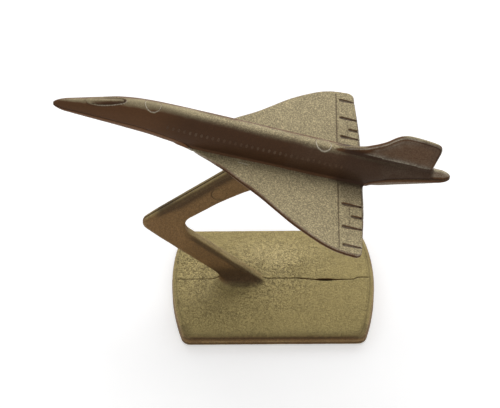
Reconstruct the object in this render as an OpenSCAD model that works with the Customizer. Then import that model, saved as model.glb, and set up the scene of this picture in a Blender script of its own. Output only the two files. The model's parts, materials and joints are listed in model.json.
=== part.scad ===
// Desk model of a slender delta airliner, climbing, on a cast stand with a bent arm.
// Units are millimetres. The origin is on the floor under the middle of the base.
// +X runs from nose to tail, +Z is up, and the object is symmetric about the XZ plane.

/* [Base] */
// Length of the base at its middle, end bulge to end bulge
base_length = 107; // [103:0.1:112]
// Length of the base along its straight front edge
base_edge_length = 93.6; // [92:0.1:98]
// Depth of the base, front to back
base_depth = 76.4; // [74:0.1:80]
// Height of the base's top at the front and back walls
base_wall_top = 6.4; // [6:0.1:8]
// Height of the base's top along the middle seam
base_crest = 9.7; // [9.2:0.1:11]
// Radius of the rounded rim round the top
rim_radius = 1.7; // [1:0.1:2.2]
// Radius of the four upright corners
corner_radius = 3.5; // [2:0.5:6]
// Thickness of the baize pad under the base
baize_thickness = 0.8; // [0.5:0.1:1]
// Thickness of the steel plate that closes the base
plate_thickness = 1.5; // [1:0.1:1.8]

/* [Arm] */
// Thickness of the arm, near face to far face
arm_thickness = 6; // [5:0.1:7]
// Width of the upper limb in the plane of the bend
upper_limb_width = 14.6; // [12:0.1:15]
// Width of the lower limb in the plane of the bend
lower_limb_width = 12; // [11:0.1:13]
// Slope of the upper limb
upper_limb_slope = 38.5; // [37:0.1:40]
// Slope of the lower limb
lower_limb_slope = 43.6; // [42:0.1:45]
// Distance of the elbow in front of the base's middle
elbow_reach = 59.4; // [57:0.1:61]
// Height of the elbow
elbow_height = 53.7; // [52:0.1:55]
// Radius of the elbow's outer corner
elbow_outer_radius = 4.8; // [4:0.1:5.5]
// Radius of the elbow's inner corner
elbow_inner_radius = 5; // [3:0.1:6]
// Radius of the arm's rounded edges
arm_edge_radius = 2; // [1:0.1:2.4]

/* [Aircraft] */
// Climb angle of the aircraft
climb = 17.5; // [16:0.1:19]
// Height of the wings' top face over the middle of the base
wing_height = 101.8; // [100:0.1:104]
// Distance from the base's middle to the nose tip, along the aircraft
nose_length = 114.2; // [112:0.1:116]
// Distance from the base's middle to the tail tip, along the aircraft
tail_length = 89.5; // [88.6:0.1:92]
// Half of the wing span
half_span = 56.8; // [56:0.1:60]
// Thickness of the wings
wing_thickness = 2.6; // [2.2:0.1:3]
// Thickness of the fin
fin_thickness = 2.4; // [2:0.1:3]
// Depth of the slots between the elevons
slot_depth = 0.7; // [0.4:0.1:1]

/* [Fasteners] */
// Radius of the three flush pin heads
pin_head_radius = 4.05; // [3.6:0.05:4.2]
// Radius of the pins below their heads
pin_shank_radius = 2; // [1.5:0.1:2.5]
// Radius of the pivot screw
pivot_radius = 1.5; // [1.4:0.05:1.6]
// Gap between the pivot screw and its hole in the arm
running_gap = 0.05; // [0.02:0.01:0.1]
// Distance of the pivot behind the base's middle, along the aircraft
pivot_station = 6; // [4:0.5:8]

/* [Hidden] */
$fn = 64;

gold = [0.62, 0.54, 0.35];
dark_gold = [0.45, 0.37, 0.26];
steel = [0.62, 0.62, 0.6];
brass = [0.72, 0.58, 0.3];
green_baize = [0.16, 0.27, 0.2];

// Larger than the object, for cutting it along planes
far_away = 300;
// Cutting shapes run this far past the face that they open
overrun = 1;
// Gap round a pressed or screwed piece
fit_gap = 0.03;

// Base: the ends are arcs through the middle bulge and the two corners
end_bulge = (base_length - base_edge_length) / 2;
end_arc_radius = (pow(base_depth / 2, 2) + pow(end_bulge, 2)) / (2 * end_bulge);
crown_drop = base_crest - base_wall_top;
crown_radius = (pow(base_depth / 2, 2) + pow(crown_drop, 2)) / (2 * crown_drop);
rim_step = rim_radius * 0.3;
plate_size = [90, 66];
plate_gap = 0.05;
plate_top = baize_thickness + plate_thickness;
cavity_size = [84, 24, 2.8];
seam_wall = 6;
boss_radius = 4;
plate_screw_x = 36;
plate_screw_y = 24;
plate_screw_radius = 1.5;
plate_screw_head = 2.9;
plate_screw_head_depth = 1.4;
plate_screw_end = 5.4;
blind_hole_gap = 0.3;
dowel_x = 34;
dowel_z = 4.6;
dowel_radius = 1.5;
dowel_half_length = 5;
baize_inset = 1.5;

// Arm: the centre lines of both limbs meet at the elbow
elbow = [-elbow_reach, elbow_height];
upper_dir = [cos(upper_limb_slope), sin(upper_limb_slope)];
lower_dir = [cos(lower_limb_slope), -sin(lower_limb_slope)];
upper_up = [-sin(upper_limb_slope), cos(upper_limb_slope)];
lower_up = [sin(lower_limb_slope), cos(lower_limb_slope)];
upper_half = upper_limb_width / 2;
lower_half = lower_limb_width / 2;
limb_corner_radius = arm_edge_radius + 0.6;
limb_start = 6;
upper_limb_run = 74;
lower_limb_run = [62, 70];
elbow_half_angle = (upper_limb_slope + lower_limb_slope) / 2;
outer_corner = elbow + [elbow_outer_radius - (upper_half + lower_half) / 2, 0] / sin(elbow_half_angle);
inner_corner = elbow + [(upper_half + lower_half) / 2 / sin(elbow_half_angle), 0];
inner_reach = elbow_inner_radius / tan(elbow_half_angle);
fillet_root = 2;
foot_x = -13;
foot_half_length = 12;
foot_half_width = 5.5;
foot_thickness = 1.2;
foot_bed = base_crest - 1.5;
foot_neck_x = -19;
foot_neck_z = 15;
foot_neck_size = [14, 5.5, 0.1];
arm_pin_place = [-27.6, 76.4];
arm_pin_radius = 3.85;

// Pivot: heights along the aircraft's own upright, from the wings' top face
belly_boss_face = -5.4;
seat_gap = 0.05;
washer_thickness = 0.55;
washer_radius = 4.6;
washer_bore = pivot_radius + 0.1;
seat_face = belly_boss_face - seat_gap - washer_thickness;
spot_face = seat_face - 10;
spot_face_radius = 5.2;
spring_thickness = 0.8;
spring_radius = 2.7;
spring_split = 0.4;
screw_head_height = 2.6;
screw_head_radius = 2.8;
screw_slot_width = 0.7;
belly_boss_radius = 6;
belly_boss_height = 2.5;
seat_boss_radius = 5;
bush_radius = 3;
bush_bore = pivot_radius + 0.015;
bush_top = -1.4;
screw_top = -1.6;
function seat_point(station) = [station * cos(climb) + seat_face * sin(climb),
    wing_height - station * sin(climb) + seat_face * cos(climb)];
head_outline = [[-30, 75], [-26, 71.3], [-20, 74.8], [-12, 78.9], [-4, 81.9], [6, 84.4], [13, 85.7],
    [16.5, 87.2], seat_point(20), seat_point(-10)];

// Aircraft outline, stations measured back from the base's middle
nose_x = -nose_length;
tail_x = tail_length;
nose_round = 4.5;
tail_round = 3;
blend = 3;
top_line = [[-113.6, 6], [-108, 7.3], [-95, 11.1], [-84, 14.4], [-75, 15.9], [-65, 16.3],
    [-45, 15.9], [0, 14.8], [40, 14], [80, 13], [89, 12.9]];
middle_line = [[-113.6, 3.2], [-103, 5], [-95, 6.1], [-84, 7.6], [-75, 7.9], [-65, 7.8],
    [-45, 6.9], [0, 6.4], [40, 6.1], [53, 5.8], [64, 6.8], [76, 8.2], [89, 10.2]];
bottom_line = [[-113.6, 1], [-103, 0.8], [-84, 0.6], [-67, -0.7], [-55, -2.8], [-45, -4.9],
    [-35, -5.2], [35, -5.2], [46, -4.8], [53, -3.7], [64, 0.3], [76, 4.1], [89, 8.6]];
half_width_line = [[-113.6, 2.3], [-108, 3.1], [-95, 5.2], [-84, 6.8], [-75, 7.5], [-55, 8.2],
    [-35, 8.4], [40, 8.3], [53, 7.8], [64, 6.6], [76, 4.9], [89, 3.2]];
seam_line = [[-130, 2.8], [-113.6, 3.1], [-103, 4.6], [-93, 5.7], [-84, 6.5], [-72, 6.6],
    [-60, 4.9], [-50, 3], [-44.5, 0.8], [-42, -1.3], [46.3, -1.3], [48.5, 2.6], [56, 6],
    [66, 8], [78, 9.5], [89, 10.4], [130, 11.2]];
leading_edge = [[-50, 5], [-41.5, 9], [-33, 12.9], [-25, 16.6], [-18, 21.6], [-8.5, 28.2],
    [0, 35.2], [7.6, 41.4], [13.7, 45.7], [20, 49.9], [26, 53.3], [31, 55.3], [36, 56.4]];
trailing_edge = [[45.5, 38.5], [46.3, 24], [46.6, 8], [49, 5]];
tip_corner_radius = 3.4;
tip_rear = 44.3;
fin_outline = [[14, 8], [28, 14.4], [40, 17.6], [45, 19.9], [50.5, 23.8], [55, 28.7], [58.5, 30.8],
    [62.5, 31.4], [70, 30.9], [76, 30], [78.6, 28.3], [79.2, 25], [78.7, 8]];
hinge_line = 33.6;
hinge_groove_width = 0.5;
hinge_groove_depth = 0.4;
hinge_groove_ends = [12, 54];
slot_width = 0.8;
long_slot_start = 35.6;
long_slots = [51, 38.2, 23.9];
short_slot = 31;
short_slot_start = 40.2;
engine_width = 13.4;
engine_centre = 31.1;
engine_outline = [[9, -wing_thickness], [13, -9.2], [43.5, -8.7], [45.3, -wing_thickness]];
mouth_size = [7, 5.4, 4.6];
mouth_bottom = -8.6;
nozzle_radius = 2.6;
nozzle_depth = 4;
nozzle_z = -5.6;

// Spine pins: station, height under the head, height of the lower end, radius of the back above it
front_pin = [-67, 11.5, 2, 7.6];
rear_pin = [21.1, 10, -3.6, 8.2];
cored_hollow = [-36, 12];
cored_radius = 4.6;
cored_axis = 5.6;
cored_floor = -2;

function along(x, line) = (lookup(x - blend, line) + 2 * lookup(x, line) + lookup(x + blend, line)) / 4;
function rounded(t) = t >= 1 ? 1 : sqrt(1 - pow(1 - t, 2));
function taper(x) = min(rounded((x - nose_x) / nose_round), rounded((tail_x - x) / tail_round));

section_points = 28;
function section(x) =
    let (
        middle = along(x, middle_line),
        up = (along(x, top_line) - middle) * taper(x),
        down = (middle - along(x, bottom_line)) * taper(x),
        wide = along(x, half_width_line) * taper(x)
    )
    [for (i = [0:section_points - 1])
        let (a = 360 * i / section_points)
        [x, wide * cos(a), middle + (sin(a) > 0 ? up : down) * sin(a)]];

stations = concat(
    [for (t = [0.05, 0.4, 1.2, 2.6]) nose_x + t],
    [for (x = [-109:6:83]) x],
    [for (t = [2.2, 1.0, 0.3, 0.05]) tail_x - t]);

// A closed skin over rings that all have the same number of points
module skin(rings) {
    count = len(rings[0]);
    last = len(rings) - 1;
    points = [for (ring = rings) each ring];
    sides = [for (i = [0:last - 1], j = [0:count - 1])
        let (a = i * count + j, b = i * count + (j + 1) % count)
        each [[a, b + count, b], [a, a + count, b + count]]];
    front_cap = [[for (j = [0:count - 1]) j]];
    back_cap = [[for (j = [count - 1:-1:0]) last * count + j]];
    polyhedron(points, concat(sides, front_cap, back_cap), convexity = 6);
}

module fuselage() {
    skin([for (x = stations) section(x)]);
}

// Puts a shape drawn in the aircraft's own axes into its climb on the stand
module in_flight() {
    translate([0, 0, wing_height]) rotate([0, climb, 0]) children();
}

// Extrudes a shape drawn in X and Z across the object, between two values of Y
module across(y_from, y_to) {
    translate([0, y_to, 0]) rotate([90, 0, 0]) linear_extrude(y_to - y_from) children();
}

// One side of the wings in plan, from the front of the root round the tip to the back of the root
wing_side = concat(
    leading_edge,
    [for (a = [90:-15:0]) [tip_rear - tip_corner_radius + tip_corner_radius * cos(a),
        half_span - tip_corner_radius + tip_corner_radius * sin(a)]],
    trailing_edge);
wing_plan = concat(wing_side, [for (i = [len(wing_side) - 1:-1:0]) [wing_side[i][0], -wing_side[i][1]]]);

module wings() {
    translate([0, 0, -wing_thickness]) linear_extrude(wing_thickness) polygon(wing_plan);
}

module fin() {
    across(-fin_thickness / 2, fin_thickness / 2) polygon(fin_outline);
}

module elevon_slots() {
    cutter = [far_away, slot_width, far_away];
    for (side = [-1, 1]) {
        for (y = long_slots)
            translate([long_slot_start, side * y - slot_width / 2, -slot_depth]) cube(cutter);
        translate([short_slot_start, side * short_slot - slot_width / 2, -slot_depth]) cube(cutter);
        translate([hinge_line - hinge_groove_width / 2, min(side * hinge_groove_ends), -hinge_groove_depth])
            cube([hinge_groove_width, hinge_groove_ends[1] - hinge_groove_ends[0], overrun]);
    }
}

module above_seam() {
    across(-far_away, far_away)
        polygon(concat([[-130, 90]], seam_line, [[130, 90]]));
}

module below_seam() {
    across(-far_away, far_away)
        polygon(concat([[-130, -90]], seam_line, [[130, -90]]));
}

module spine_pin_holes() {
    for (pin = [front_pin, rear_pin]) {
        translate([pin[0], 0, pin[1] - fit_gap]) cylinder(r = pin_head_radius + fit_gap, h = far_away);
        translate([pin[0], 0, pin[2] - fit_gap]) cylinder(r = pin_shank_radius + fit_gap, h = far_away);
    }
}

module upper_airframe() {
    cored_length = cored_hollow[1] - cored_hollow[0];
    color(gold) in_flight() difference() {
        intersection() {
            union() {
                fuselage();
                wings();
                fin();
            }
            above_seam();
        }
        elevon_slots();
        spine_pin_holes();
        translate([cored_hollow[0], 0, cored_axis]) rotate([0, 90, 0])
            cylinder(r = cored_radius, h = cored_length);
        translate([cored_hollow[0], -cored_radius, cored_floor])
            cube([cored_length, 2 * cored_radius, cored_axis - cored_floor]);
    }
}

module lower_airframe() {
    color(dark_gold) in_flight() difference() {
        union() {
            intersection() {
                union() {
                    fuselage();
                    wings();
                }
                below_seam();
            }
            translate([pivot_station, 0, belly_boss_face])
                cylinder(r = belly_boss_radius, h = belly_boss_height);
        }
        spine_pin_holes();
        translate([pivot_station, 0, belly_boss_face - overrun])
            cylinder(r = bush_radius + fit_gap, h = far_away);
    }
}

module engine_box(side) {
    front = engine_outline[0][0];
    back = engine_outline[3][0];
    color(dark_gold) in_flight() translate([0, side * engine_centre, 0]) difference() {
        across(-engine_width / 2, engine_width / 2) polygon(engine_outline);
        for (y = [-1, 1] * engine_width / 4) {
            translate([front, y - mouth_size[1] / 2, mouth_bottom]) cube(mouth_size);
            translate([back - nozzle_depth, y, nozzle_z]) rotate([0, 90, 0])
                cylinder(r = nozzle_radius, h = nozzle_depth + overrun);
        }
    }
}

module left_engine_box() {
    engine_box(-1);
}

module right_engine_box() {
    engine_box(1);
}

// The head is domed to lie flush with the round back of the fuselage
module spine_pin(pin) {
    dome_z = along(pin[0], top_line) - pin[3];
    color(gold) in_flight() {
        intersection() {
            translate([pin[0], 0, pin[1]]) cylinder(r = pin_head_radius, h = far_away);
            translate([pin[0] - 2 * pin_head_radius, 0, dome_z]) rotate([0, 90, 0])
                cylinder(r = pin[3], h = 4 * pin_head_radius);
        }
        translate([pin[0], 0, pin[2]]) cylinder(r = pin_shank_radius, h = pin[1] - pin[2] + overrun);
    }
}

module front_spine_pin() {
    spine_pin(front_pin);
}

module rear_spine_pin() {
    spine_pin(rear_pin);
}

module pivot_bush() {
    color(brass) in_flight() translate([pivot_station, 0, belly_boss_face]) difference() {
        cylinder(r = bush_radius, h = bush_top - belly_boss_face);
        translate([0, 0, -overrun]) cylinder(r = bush_bore, h = far_away);
    }
}

module pivot_screw() {
    head_top = spot_face - seat_gap - spring_thickness;
    color(steel) in_flight() translate([pivot_station, 0, head_top]) {
        cylinder(r = pivot_radius, h = screw_top - head_top);
        difference() {
            translate([0, 0, -screw_head_height]) cylinder(r = screw_head_radius, h = screw_head_height);
            translate([-far_away / 2, -screw_slot_width / 2, -screw_head_height - overrun])
                cube([far_away, screw_slot_width, 2 * overrun]);
        }
    }
}

module spring_washer() {
    color(steel) in_flight()
        translate([pivot_station, 0, spot_face - seat_gap - spring_thickness]) difference() {
            cylinder(r = spring_radius, h = spring_thickness);
            translate([0, 0, -overrun]) cylinder(r = washer_bore, h = far_away);
            translate([0, -spring_split / 2, -overrun]) cube([far_away, spring_split, far_away]);
        }
}

module seat_washer() {
    color(brass) in_flight() translate([pivot_station, 0, seat_face]) difference() {
        cylinder(r = washer_radius, h = washer_thickness);
        translate([0, 0, -overrun]) cylinder(r = washer_bore, h = far_away);
    }
}

// Plan of the base, drawn in by the same amount all round
module base_plan(inset) {
    end_centre = end_arc_radius - base_length / 2;
    offset(r = corner_radius - inset, $fn = 32) offset(delta = -corner_radius) intersection() {
        square([2 * base_length, base_depth], center = true);
        translate([end_centre, 0]) circle(end_arc_radius, $fn = 256);
        translate([-end_centre, 0]) circle(end_arc_radius, $fn = 256);
    }
}

module base_body() {
    hull() {
        translate([0, 0, baize_thickness])
            linear_extrude(base_wall_top - rim_radius - baize_thickness) base_plan(0);
        translate([0, 0, baize_thickness])
            linear_extrude(base_wall_top - rim_step - baize_thickness) base_plan(rim_step);
        intersection() {
            translate([0, 0, baize_thickness]) linear_extrude(2 * base_crest) base_plan(rim_radius);
            translate([-base_length, 0, base_crest - crown_radius]) rotate([0, 90, 0])
                cylinder(r = crown_radius, h = 2 * base_length, $fn = 240);
        }
    }
}

// A disc lying in the plane of the arm, with rounded edges
module arm_disc(place, radius) {
    inner = radius - arm_edge_radius;
    flat = arm_thickness / 2 - arm_edge_radius;
    translate([place[0], 0, place[1]]) rotate([90, 0, 0]) rotate_extrude($fn = 32) intersection() {
        union() {
            translate([0, -arm_thickness / 2]) square([inner, arm_thickness]);
            translate([0, -flat]) square([radius, 2 * flat]);
            for (side = [-1, 1])
                translate([inner, side * flat]) circle(arm_edge_radius, $fn = 16);
        }
        translate([0, -arm_thickness]) square(2 * arm_thickness);
    }
}

module upper_limb() {
    side_up = upper_up * (upper_half - limb_corner_radius);
    hull() {
        arm_disc(outer_corner, elbow_outer_radius);
        arm_disc(elbow + upper_dir * limb_start - side_up, limb_corner_radius);
        for (side = [-1, 1])
            arm_disc(elbow + upper_dir * upper_limb_run + side * side_up, limb_corner_radius);
    }
}

module lower_limb() {
    side_up = lower_up * (lower_half - limb_corner_radius);
    hull() {
        arm_disc(outer_corner, elbow_outer_radius);
        arm_disc(elbow + lower_dir * limb_start + side_up, limb_corner_radius);
        arm_disc(elbow + lower_dir * lower_limb_run[0] - side_up, limb_corner_radius);
        arm_disc(elbow + lower_dir * lower_limb_run[1] + side_up, limb_corner_radius);
    }
}

// Fills the sharp inside corner of the elbow, leaving an arc
module elbow_fillet() {
    across(-arm_thickness / 2, arm_thickness / 2) difference() {
        polygon([elbow, inner_corner + upper_dir * inner_reach - lower_up * fillet_root,
            inner_corner + upper_dir * inner_reach, inner_corner + lower_dir * inner_reach,
            inner_corner + lower_dir * inner_reach + upper_up * fillet_root]);
        translate(inner_corner + [elbow_inner_radius / sin(elbow_half_angle), 0])
            circle(elbow_inner_radius);
    }
}

// The foot flares out onto the base
module foot() {
    hull() {
        translate([foot_neck_x, 0, foot_neck_z]) cube(foot_neck_size, center = true);
        for (side = [-1, 1])
            translate([foot_x + side * (foot_half_length - foot_half_width), 0, foot_bed])
                cylinder(r = foot_half_width, h = foot_thickness, $fn = 32);
    }
}

// The head spreads under the belly, and its top is cut along the seat of the pivot
module arm_head() {
    across(-arm_thickness / 2, arm_thickness / 2) polygon(head_outline);
    in_flight() translate([pivot_station, 0, spot_face])
        cylinder(r = seat_boss_radius, h = seat_face - spot_face);
}

module stand_solid() {
    base_body();
    upper_limb();
    lower_limb();
    elbow_fillet();
    foot();
    arm_head();
}

module stand_cuts(side) {
    in_flight() {
        translate([-far_away / 2, -far_away / 2, seat_face]) cube(far_away);
        translate([pivot_station, 0, spot_face - 2 * screw_head_height])
            cylinder(r = spot_face_radius, h = 2 * screw_head_height);
        translate([pivot_station, 0, spot_face - overrun])
            cylinder(r = pivot_radius + running_gap, h = far_away);
    }
    translate([arm_pin_place[0], 0, arm_pin_place[1]]) rotate([90, 0, 0])
        cylinder(r = arm_pin_radius + fit_gap, h = far_away, center = true);
    translate([0, 0, baize_thickness - overrun]) linear_extrude(plate_thickness + overrun)
        square(plate_size + 2 * [plate_gap, plate_gap], center = true);
    difference() {
        translate([-cavity_size[0] / 2, side > 0 ? seam_wall : -seam_wall - cavity_size[1],
            plate_top - overrun]) cube(cavity_size + [0, 0, overrun]);
        for (x = [-1, 1])
            translate([x * plate_screw_x, side * plate_screw_y, 0]) cylinder(r = boss_radius, h = far_away);
    }
    for (x = [-1, 1]) {
        translate([x * plate_screw_x, side * plate_screw_y, 0])
            cylinder(r = plate_screw_radius + fit_gap, h = plate_screw_end + blind_hole_gap);
        translate([x * dowel_x, 0, dowel_z]) rotate([90, 0, 0])
            cylinder(r = dowel_radius + fit_gap, h = 2 * (dowel_half_length + blind_hole_gap), center = true);
    }
}

module stand_half(side) {
    color(gold) difference() {
        intersection() {
            stand_solid();
            translate([-far_away / 2, side > 0 ? 0 : -far_away, -far_away / 2]) cube(far_away);
        }
        stand_cuts(side);
    }
}

module near_stand_half() {
    stand_half(-1);
}

module far_stand_half() {
    stand_half(1);
}

module arm_pin() {
    color(gold) intersection() {
        translate([arm_pin_place[0], 0, arm_pin_place[1]]) rotate([90, 0, 0])
            cylinder(r = arm_pin_radius, h = arm_thickness, center = true);
        upper_limb();
    }
}

module base_dowel(side) {
    color(steel) translate([side * dowel_x, 0, dowel_z]) rotate([90, 0, 0])
        cylinder(r = dowel_radius, h = 2 * dowel_half_length, center = true);
}

module left_base_dowel() {
    base_dowel(-1);
}

module right_base_dowel() {
    base_dowel(1);
}

module base_plate() {
    color(steel) translate([0, 0, baize_thickness]) difference() {
        linear_extrude(plate_thickness) square(plate_size, center = true);
        for (x = [-1, 1], y = [-1, 1])
            translate([x * plate_screw_x, y * plate_screw_y, 0]) {
                cylinder(r = plate_screw_radius + fit_gap, h = far_away, center = true);
                cylinder(r1 = plate_screw_head + fit_gap, r2 = plate_screw_radius + fit_gap,
                    h = plate_screw_head_depth);
            }
    }
}

// Countersunk head down, so that it closes flush with the plate
module plate_screw(x, y) {
    color(steel) translate([x * plate_screw_x, y * plate_screw_y, baize_thickness]) {
        cylinder(r1 = plate_screw_head, r2 = plate_screw_radius, h = plate_screw_head_depth);
        cylinder(r = plate_screw_radius, h = plate_screw_end - baize_thickness);
    }
}

module plate_screw_1() {
    plate_screw(-1, -1);
}

module plate_screw_2() {
    plate_screw(1, -1);
}

module plate_screw_3() {
    plate_screw(1, 1);
}

module plate_screw_4() {
    plate_screw(-1, 1);
}

module baize_pad() {
    color(green_baize) linear_extrude(baize_thickness) base_plan(baize_inset);
}

near_stand_half();
far_stand_half();
arm_pin();
left_base_dowel();
right_base_dowel();
base_plate();
plate_screw_1();
plate_screw_2();
plate_screw_3();
plate_screw_4();
baize_pad();
seat_washer();
upper_airframe();
lower_airframe();
left_engine_box();
right_engine_box();
front_spine_pin();
rear_spine_pin();
pivot_bush();
pivot_screw();
spring_washer();
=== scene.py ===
"""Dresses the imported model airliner: cast halves with seams and fillets, pins, fixings, finish and stage."""

import json
import math

import bpy
import numpy as np
from mathutils import Matrix, Vector


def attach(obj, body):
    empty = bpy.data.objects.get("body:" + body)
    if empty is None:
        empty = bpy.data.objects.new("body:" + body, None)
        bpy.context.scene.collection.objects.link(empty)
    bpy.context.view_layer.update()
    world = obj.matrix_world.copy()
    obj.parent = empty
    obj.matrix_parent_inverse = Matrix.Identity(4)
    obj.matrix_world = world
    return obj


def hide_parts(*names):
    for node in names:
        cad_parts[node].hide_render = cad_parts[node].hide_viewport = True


bl_info = {
    "name": "Model Airliner on a Bent-Arm Stand",
    "version": (1, 0, 0),
    "blender": (4, 5, 0),
    "location": "View3D > Sidebar > Airliner",
    "description": "Builds the castings, fixings and finish of a climbing delta airliner on its desk stand",
    "category": "Object",
}

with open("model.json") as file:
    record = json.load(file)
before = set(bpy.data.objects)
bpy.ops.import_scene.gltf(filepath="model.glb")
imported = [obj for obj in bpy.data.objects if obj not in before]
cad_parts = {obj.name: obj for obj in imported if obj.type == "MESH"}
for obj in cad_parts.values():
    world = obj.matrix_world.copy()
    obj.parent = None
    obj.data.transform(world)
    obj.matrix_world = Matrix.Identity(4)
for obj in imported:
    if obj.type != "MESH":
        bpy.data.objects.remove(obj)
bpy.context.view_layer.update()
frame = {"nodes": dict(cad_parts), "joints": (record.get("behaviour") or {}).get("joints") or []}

MM = 0.001
TURN = frame["joints"][0]
CLIMB = math.atan2(TURN["axis"][0], TURN["axis"][2])
WING_HEIGHT = (TURN["pos_m"][2] + math.tan(CLIMB) * TURN["pos_m"][0]) / MM

# Pivot, in the aircraft's own axes: station, belly's face, arm's seat, seat of the screw's head
PIVOT_X = 6.0
BELLY_FACE = -5.4
SEAT_FACE = -6.0
SPOT_FACE = -16.0

# Aircraft, in millimetres, in its own axes: station, then height, half width or distance from the middle
TOP_LINE = ((-113.6, 5.5), (-108, 6.7), (-95, 10.4), (-84, 13.8), (-75, 15.4), (-65, 16.0), (-45, 15.8),
            (0, 14.8), (40, 14), (80, 13), (89, 12.9))
MIDDLE_LINE = ((-113.6, 2.6), (-103, 4.4), (-95, 5.5), (-84, 7.0), (-75, 7.4), (-65, 7.5), (-45, 6.8),
               (0, 6.4), (40, 6.1), (53, 5.8), (64, 6.8), (76, 8.2), (89, 10.2))
BOTTOM_LINE = ((-113.6, 0.4), (-103, 0.1), (-84, -0.1), (-67, -1.2), (-55, -3.1), (-45, -5.0), (-35, -5.2),
               (35, -5.2), (46, -4.8), (53, -3.7), (64, 0.3), (76, 4.1), (89, 8.6))
HALF_WIDTH = ((-113.6, 2.3), (-108, 3.1), (-95, 5.2), (-84, 6.8), (-75, 7.5), (-55, 8.2), (-35, 8.4),
              (40, 8.3), (53, 7.8), (64, 6.6), (76, 4.9), (89, 3.2))
SEAM_LINE = ((-130, 2.2), (-113.6, 2.5), (-103, 4.0), (-93, 5.1), (-84, 5.9), (-72, 6.2), (-60, 4.6),
             (-50, 2.8), (-44.5, 0.8), (-42, -1.3), (46.3, -1.3), (48.5, 2.6), (56, 6), (66, 8), (78, 9.5),
             (89, 10.4), (130, 11.2))
LEADING_EDGE = ((-50, 5.5), (-41.5, 9.7), (-33, 13.6), (-25, 17.3), (-18, 22.2), (-8.5, 28.8), (0, 35.8),
                (7.6, 42.1), (13.7, 46.4), (20, 50.4), (26, 53.6), (31, 55.4), (36, 56.4))
TRAILING_EDGE = ((45.5, 38.5), (46.3, 24), (46.6, 8), (49, 5))
FIN_OUTLINE = ((28, 14.4), (40, 17.6), (45, 19.9), (50.5, 23.8), (55, 28.7), (58.5, 30.8), (62.5, 31.4),
               (70, 30.9), (76, 30), (78.6, 28.3), (79.2, 25))
NOSE, TAIL = -114.2, 89.5
NOSE_ROUND, TAIL_ROUND = 7, 5
HALF_SPAN, TIP_REAR, TIP_ROUND = 56.8, 44.3, 3.4
WING_THICKNESS = 2.6
FIN_HALF = 1.2
HINGE = 33.3
# How much the hinge line and the slots run askew across the wings
SKEW = 0.018
# Elevon slots: distance from the middle on the near side and on the far side, and where they start
SLOTS = ((51.2, 50.2, 35.2), (39.0, 37.2, 35.2), (23.6, 23.6, 35.4), (31.2, 29.5, 39.8))
COCKPIT_FRONT, COCKPIT_LENGTH, COCKPIT_HALF = -98.9, 18.4, 2.7
# Cabin windows: first station, end and spacing of the path's points, then height over the middle line
WINDOW_PATH = (-58, 32.5, 1.5)
WINDOW_RISE = 2.7
WINDOW_SUNK, WINDOW_PROUD = 0.03, 0.24
# Spine pins: station, height under the head, height of the lower end
FRONT_PIN = (-67.0, 11.5, 2.0)
REAR_PIN = (21.1, 10.0, -3.6)
PIN_RADIUS = 4.05
SHANK_RADIUS = 2.0
BOSS_RADIUS, BOSS_HALF = 6, 2.5
BUSH_HOLE = 3.03
ENGINE_CENTRE, ENGINE_HALF = 31.1, 6.7
# Intakes and nozzles: distance from the middle of their box, and heights
PAIR_OFFSET, INTAKE_Z, NOZZLE_Z = 3.35, -6.2, -5.6
NOZZLE_FLOOR = 41.5

# Stand, in millimetres, in the row frame
ELBOW = np.array((-59.4, 53.7))
UPPER_SLOPE, LOWER_SLOPE = math.radians(38.5), math.radians(43.6)
UPPER_HALF, LOWER_HALF = 7.0, 6.0
OUTER_ROUND, INNER_ROUND = 4.4, 8.0
INNER_DROP = 1.5
# Inner edge of the upper limb, spreading towards the head
HEAD_CURVE = ((-38, 61.5), (-32, 66.0), (-26, 70.2), (-20, 73.8), (-12, 78.1), (-4, 81.3), (6, 84.1),
              (13, 85.6), (16.5, 87.2))
ARM_PIN = (-27.6, 76.4)
ARM_PIN_RADIUS = 3.85
ARM_HALF = 3.0
HEAD_RADIUS, SPOT_RADIUS = 5, 5.2
BASE_HALF_DEPTH, BASE_LENGTH, BASE_EDGE = 38.2, 105.8, 93.4
BASE_FLOOR, BASE_WALL, BASE_CREST = 0.8, 6.4, 9.7
BASE_CORNER = 5.0
# Recess of the closing plate: half its length, half its depth, and its roof
PLATE = (45.05, 33.05, 2.3)
SCREWS = ((-36, -24), (36, -24), (36, 24), (-36, 24))
DOWEL_X, DOWEL_Z = 34, 4.6
FIXING_HOLE = 1.53
# The seam's wandering on the base, station and offset, and how wide the crack is along it, station and share
SEAM_JOG = ((-32, -0.3), (-20, 0), (14, 0), (22, -1.1), (42, -1.1), (44.5, 0.35))
CRACK = ((8, 0.0), (13, 0.25), (15, 0.5), (16.2, 0.1), (17.5, 0.55), (19, 0.1), (20, 0.45), (21.2, 0.1),
         (22.5, 0.6), (25, 1.2), (28, 1.3), (30.5, 1.1), (32, 0.5), (35, 0.35), (41, 0.0))
# Patches of the base's top: strength, centre and size; first painted pools of light, then where the skin is
# coarse
PAINTED_LIGHT_PATCHES = ((1, (-33, -8), (13, 13)), (1.8, (-2, 17), (26, 13)))
COARSE = ((1.1, (0, 13), (20, 14)), (0.75, (-40, 6), (12, 19)), (0.4, (-2, -10), (18, 11)),
          (0.35, (-30, -25), (25, 10)))

# Each casting's look: how steep a side is and how level a top is, between which faces turn from the top colour
# to the darker side colour, partly real browning and partly painted shade; how fine its skin is, and its relief
CASTINGS = {
    "stand": {"name": "khaki_gilt_casting", "up": (0, 0, 1), "side_until": 0.5, "top_from": 0.96,
              "grain_scale": 1400, "wrinkle_scale": 780, "pits": 0.3, "speckle": 0.25, "side_speckle": 3.0,
              "depth": 0.00075, "metallic": 0.15},
    "aircraft": {"name": "bronze_gilt_casting", "up": TURN["axis"], "side_until": 0.85, "top_from": 0.99,
                 "grain_scale": 1350, "wrinkle_scale": 500, "pits": 0.3, "speckle": 4.8, "side_speckle": 0.4,
                 "depth": 0.00022, "metallic": 0.12},
}
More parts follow.
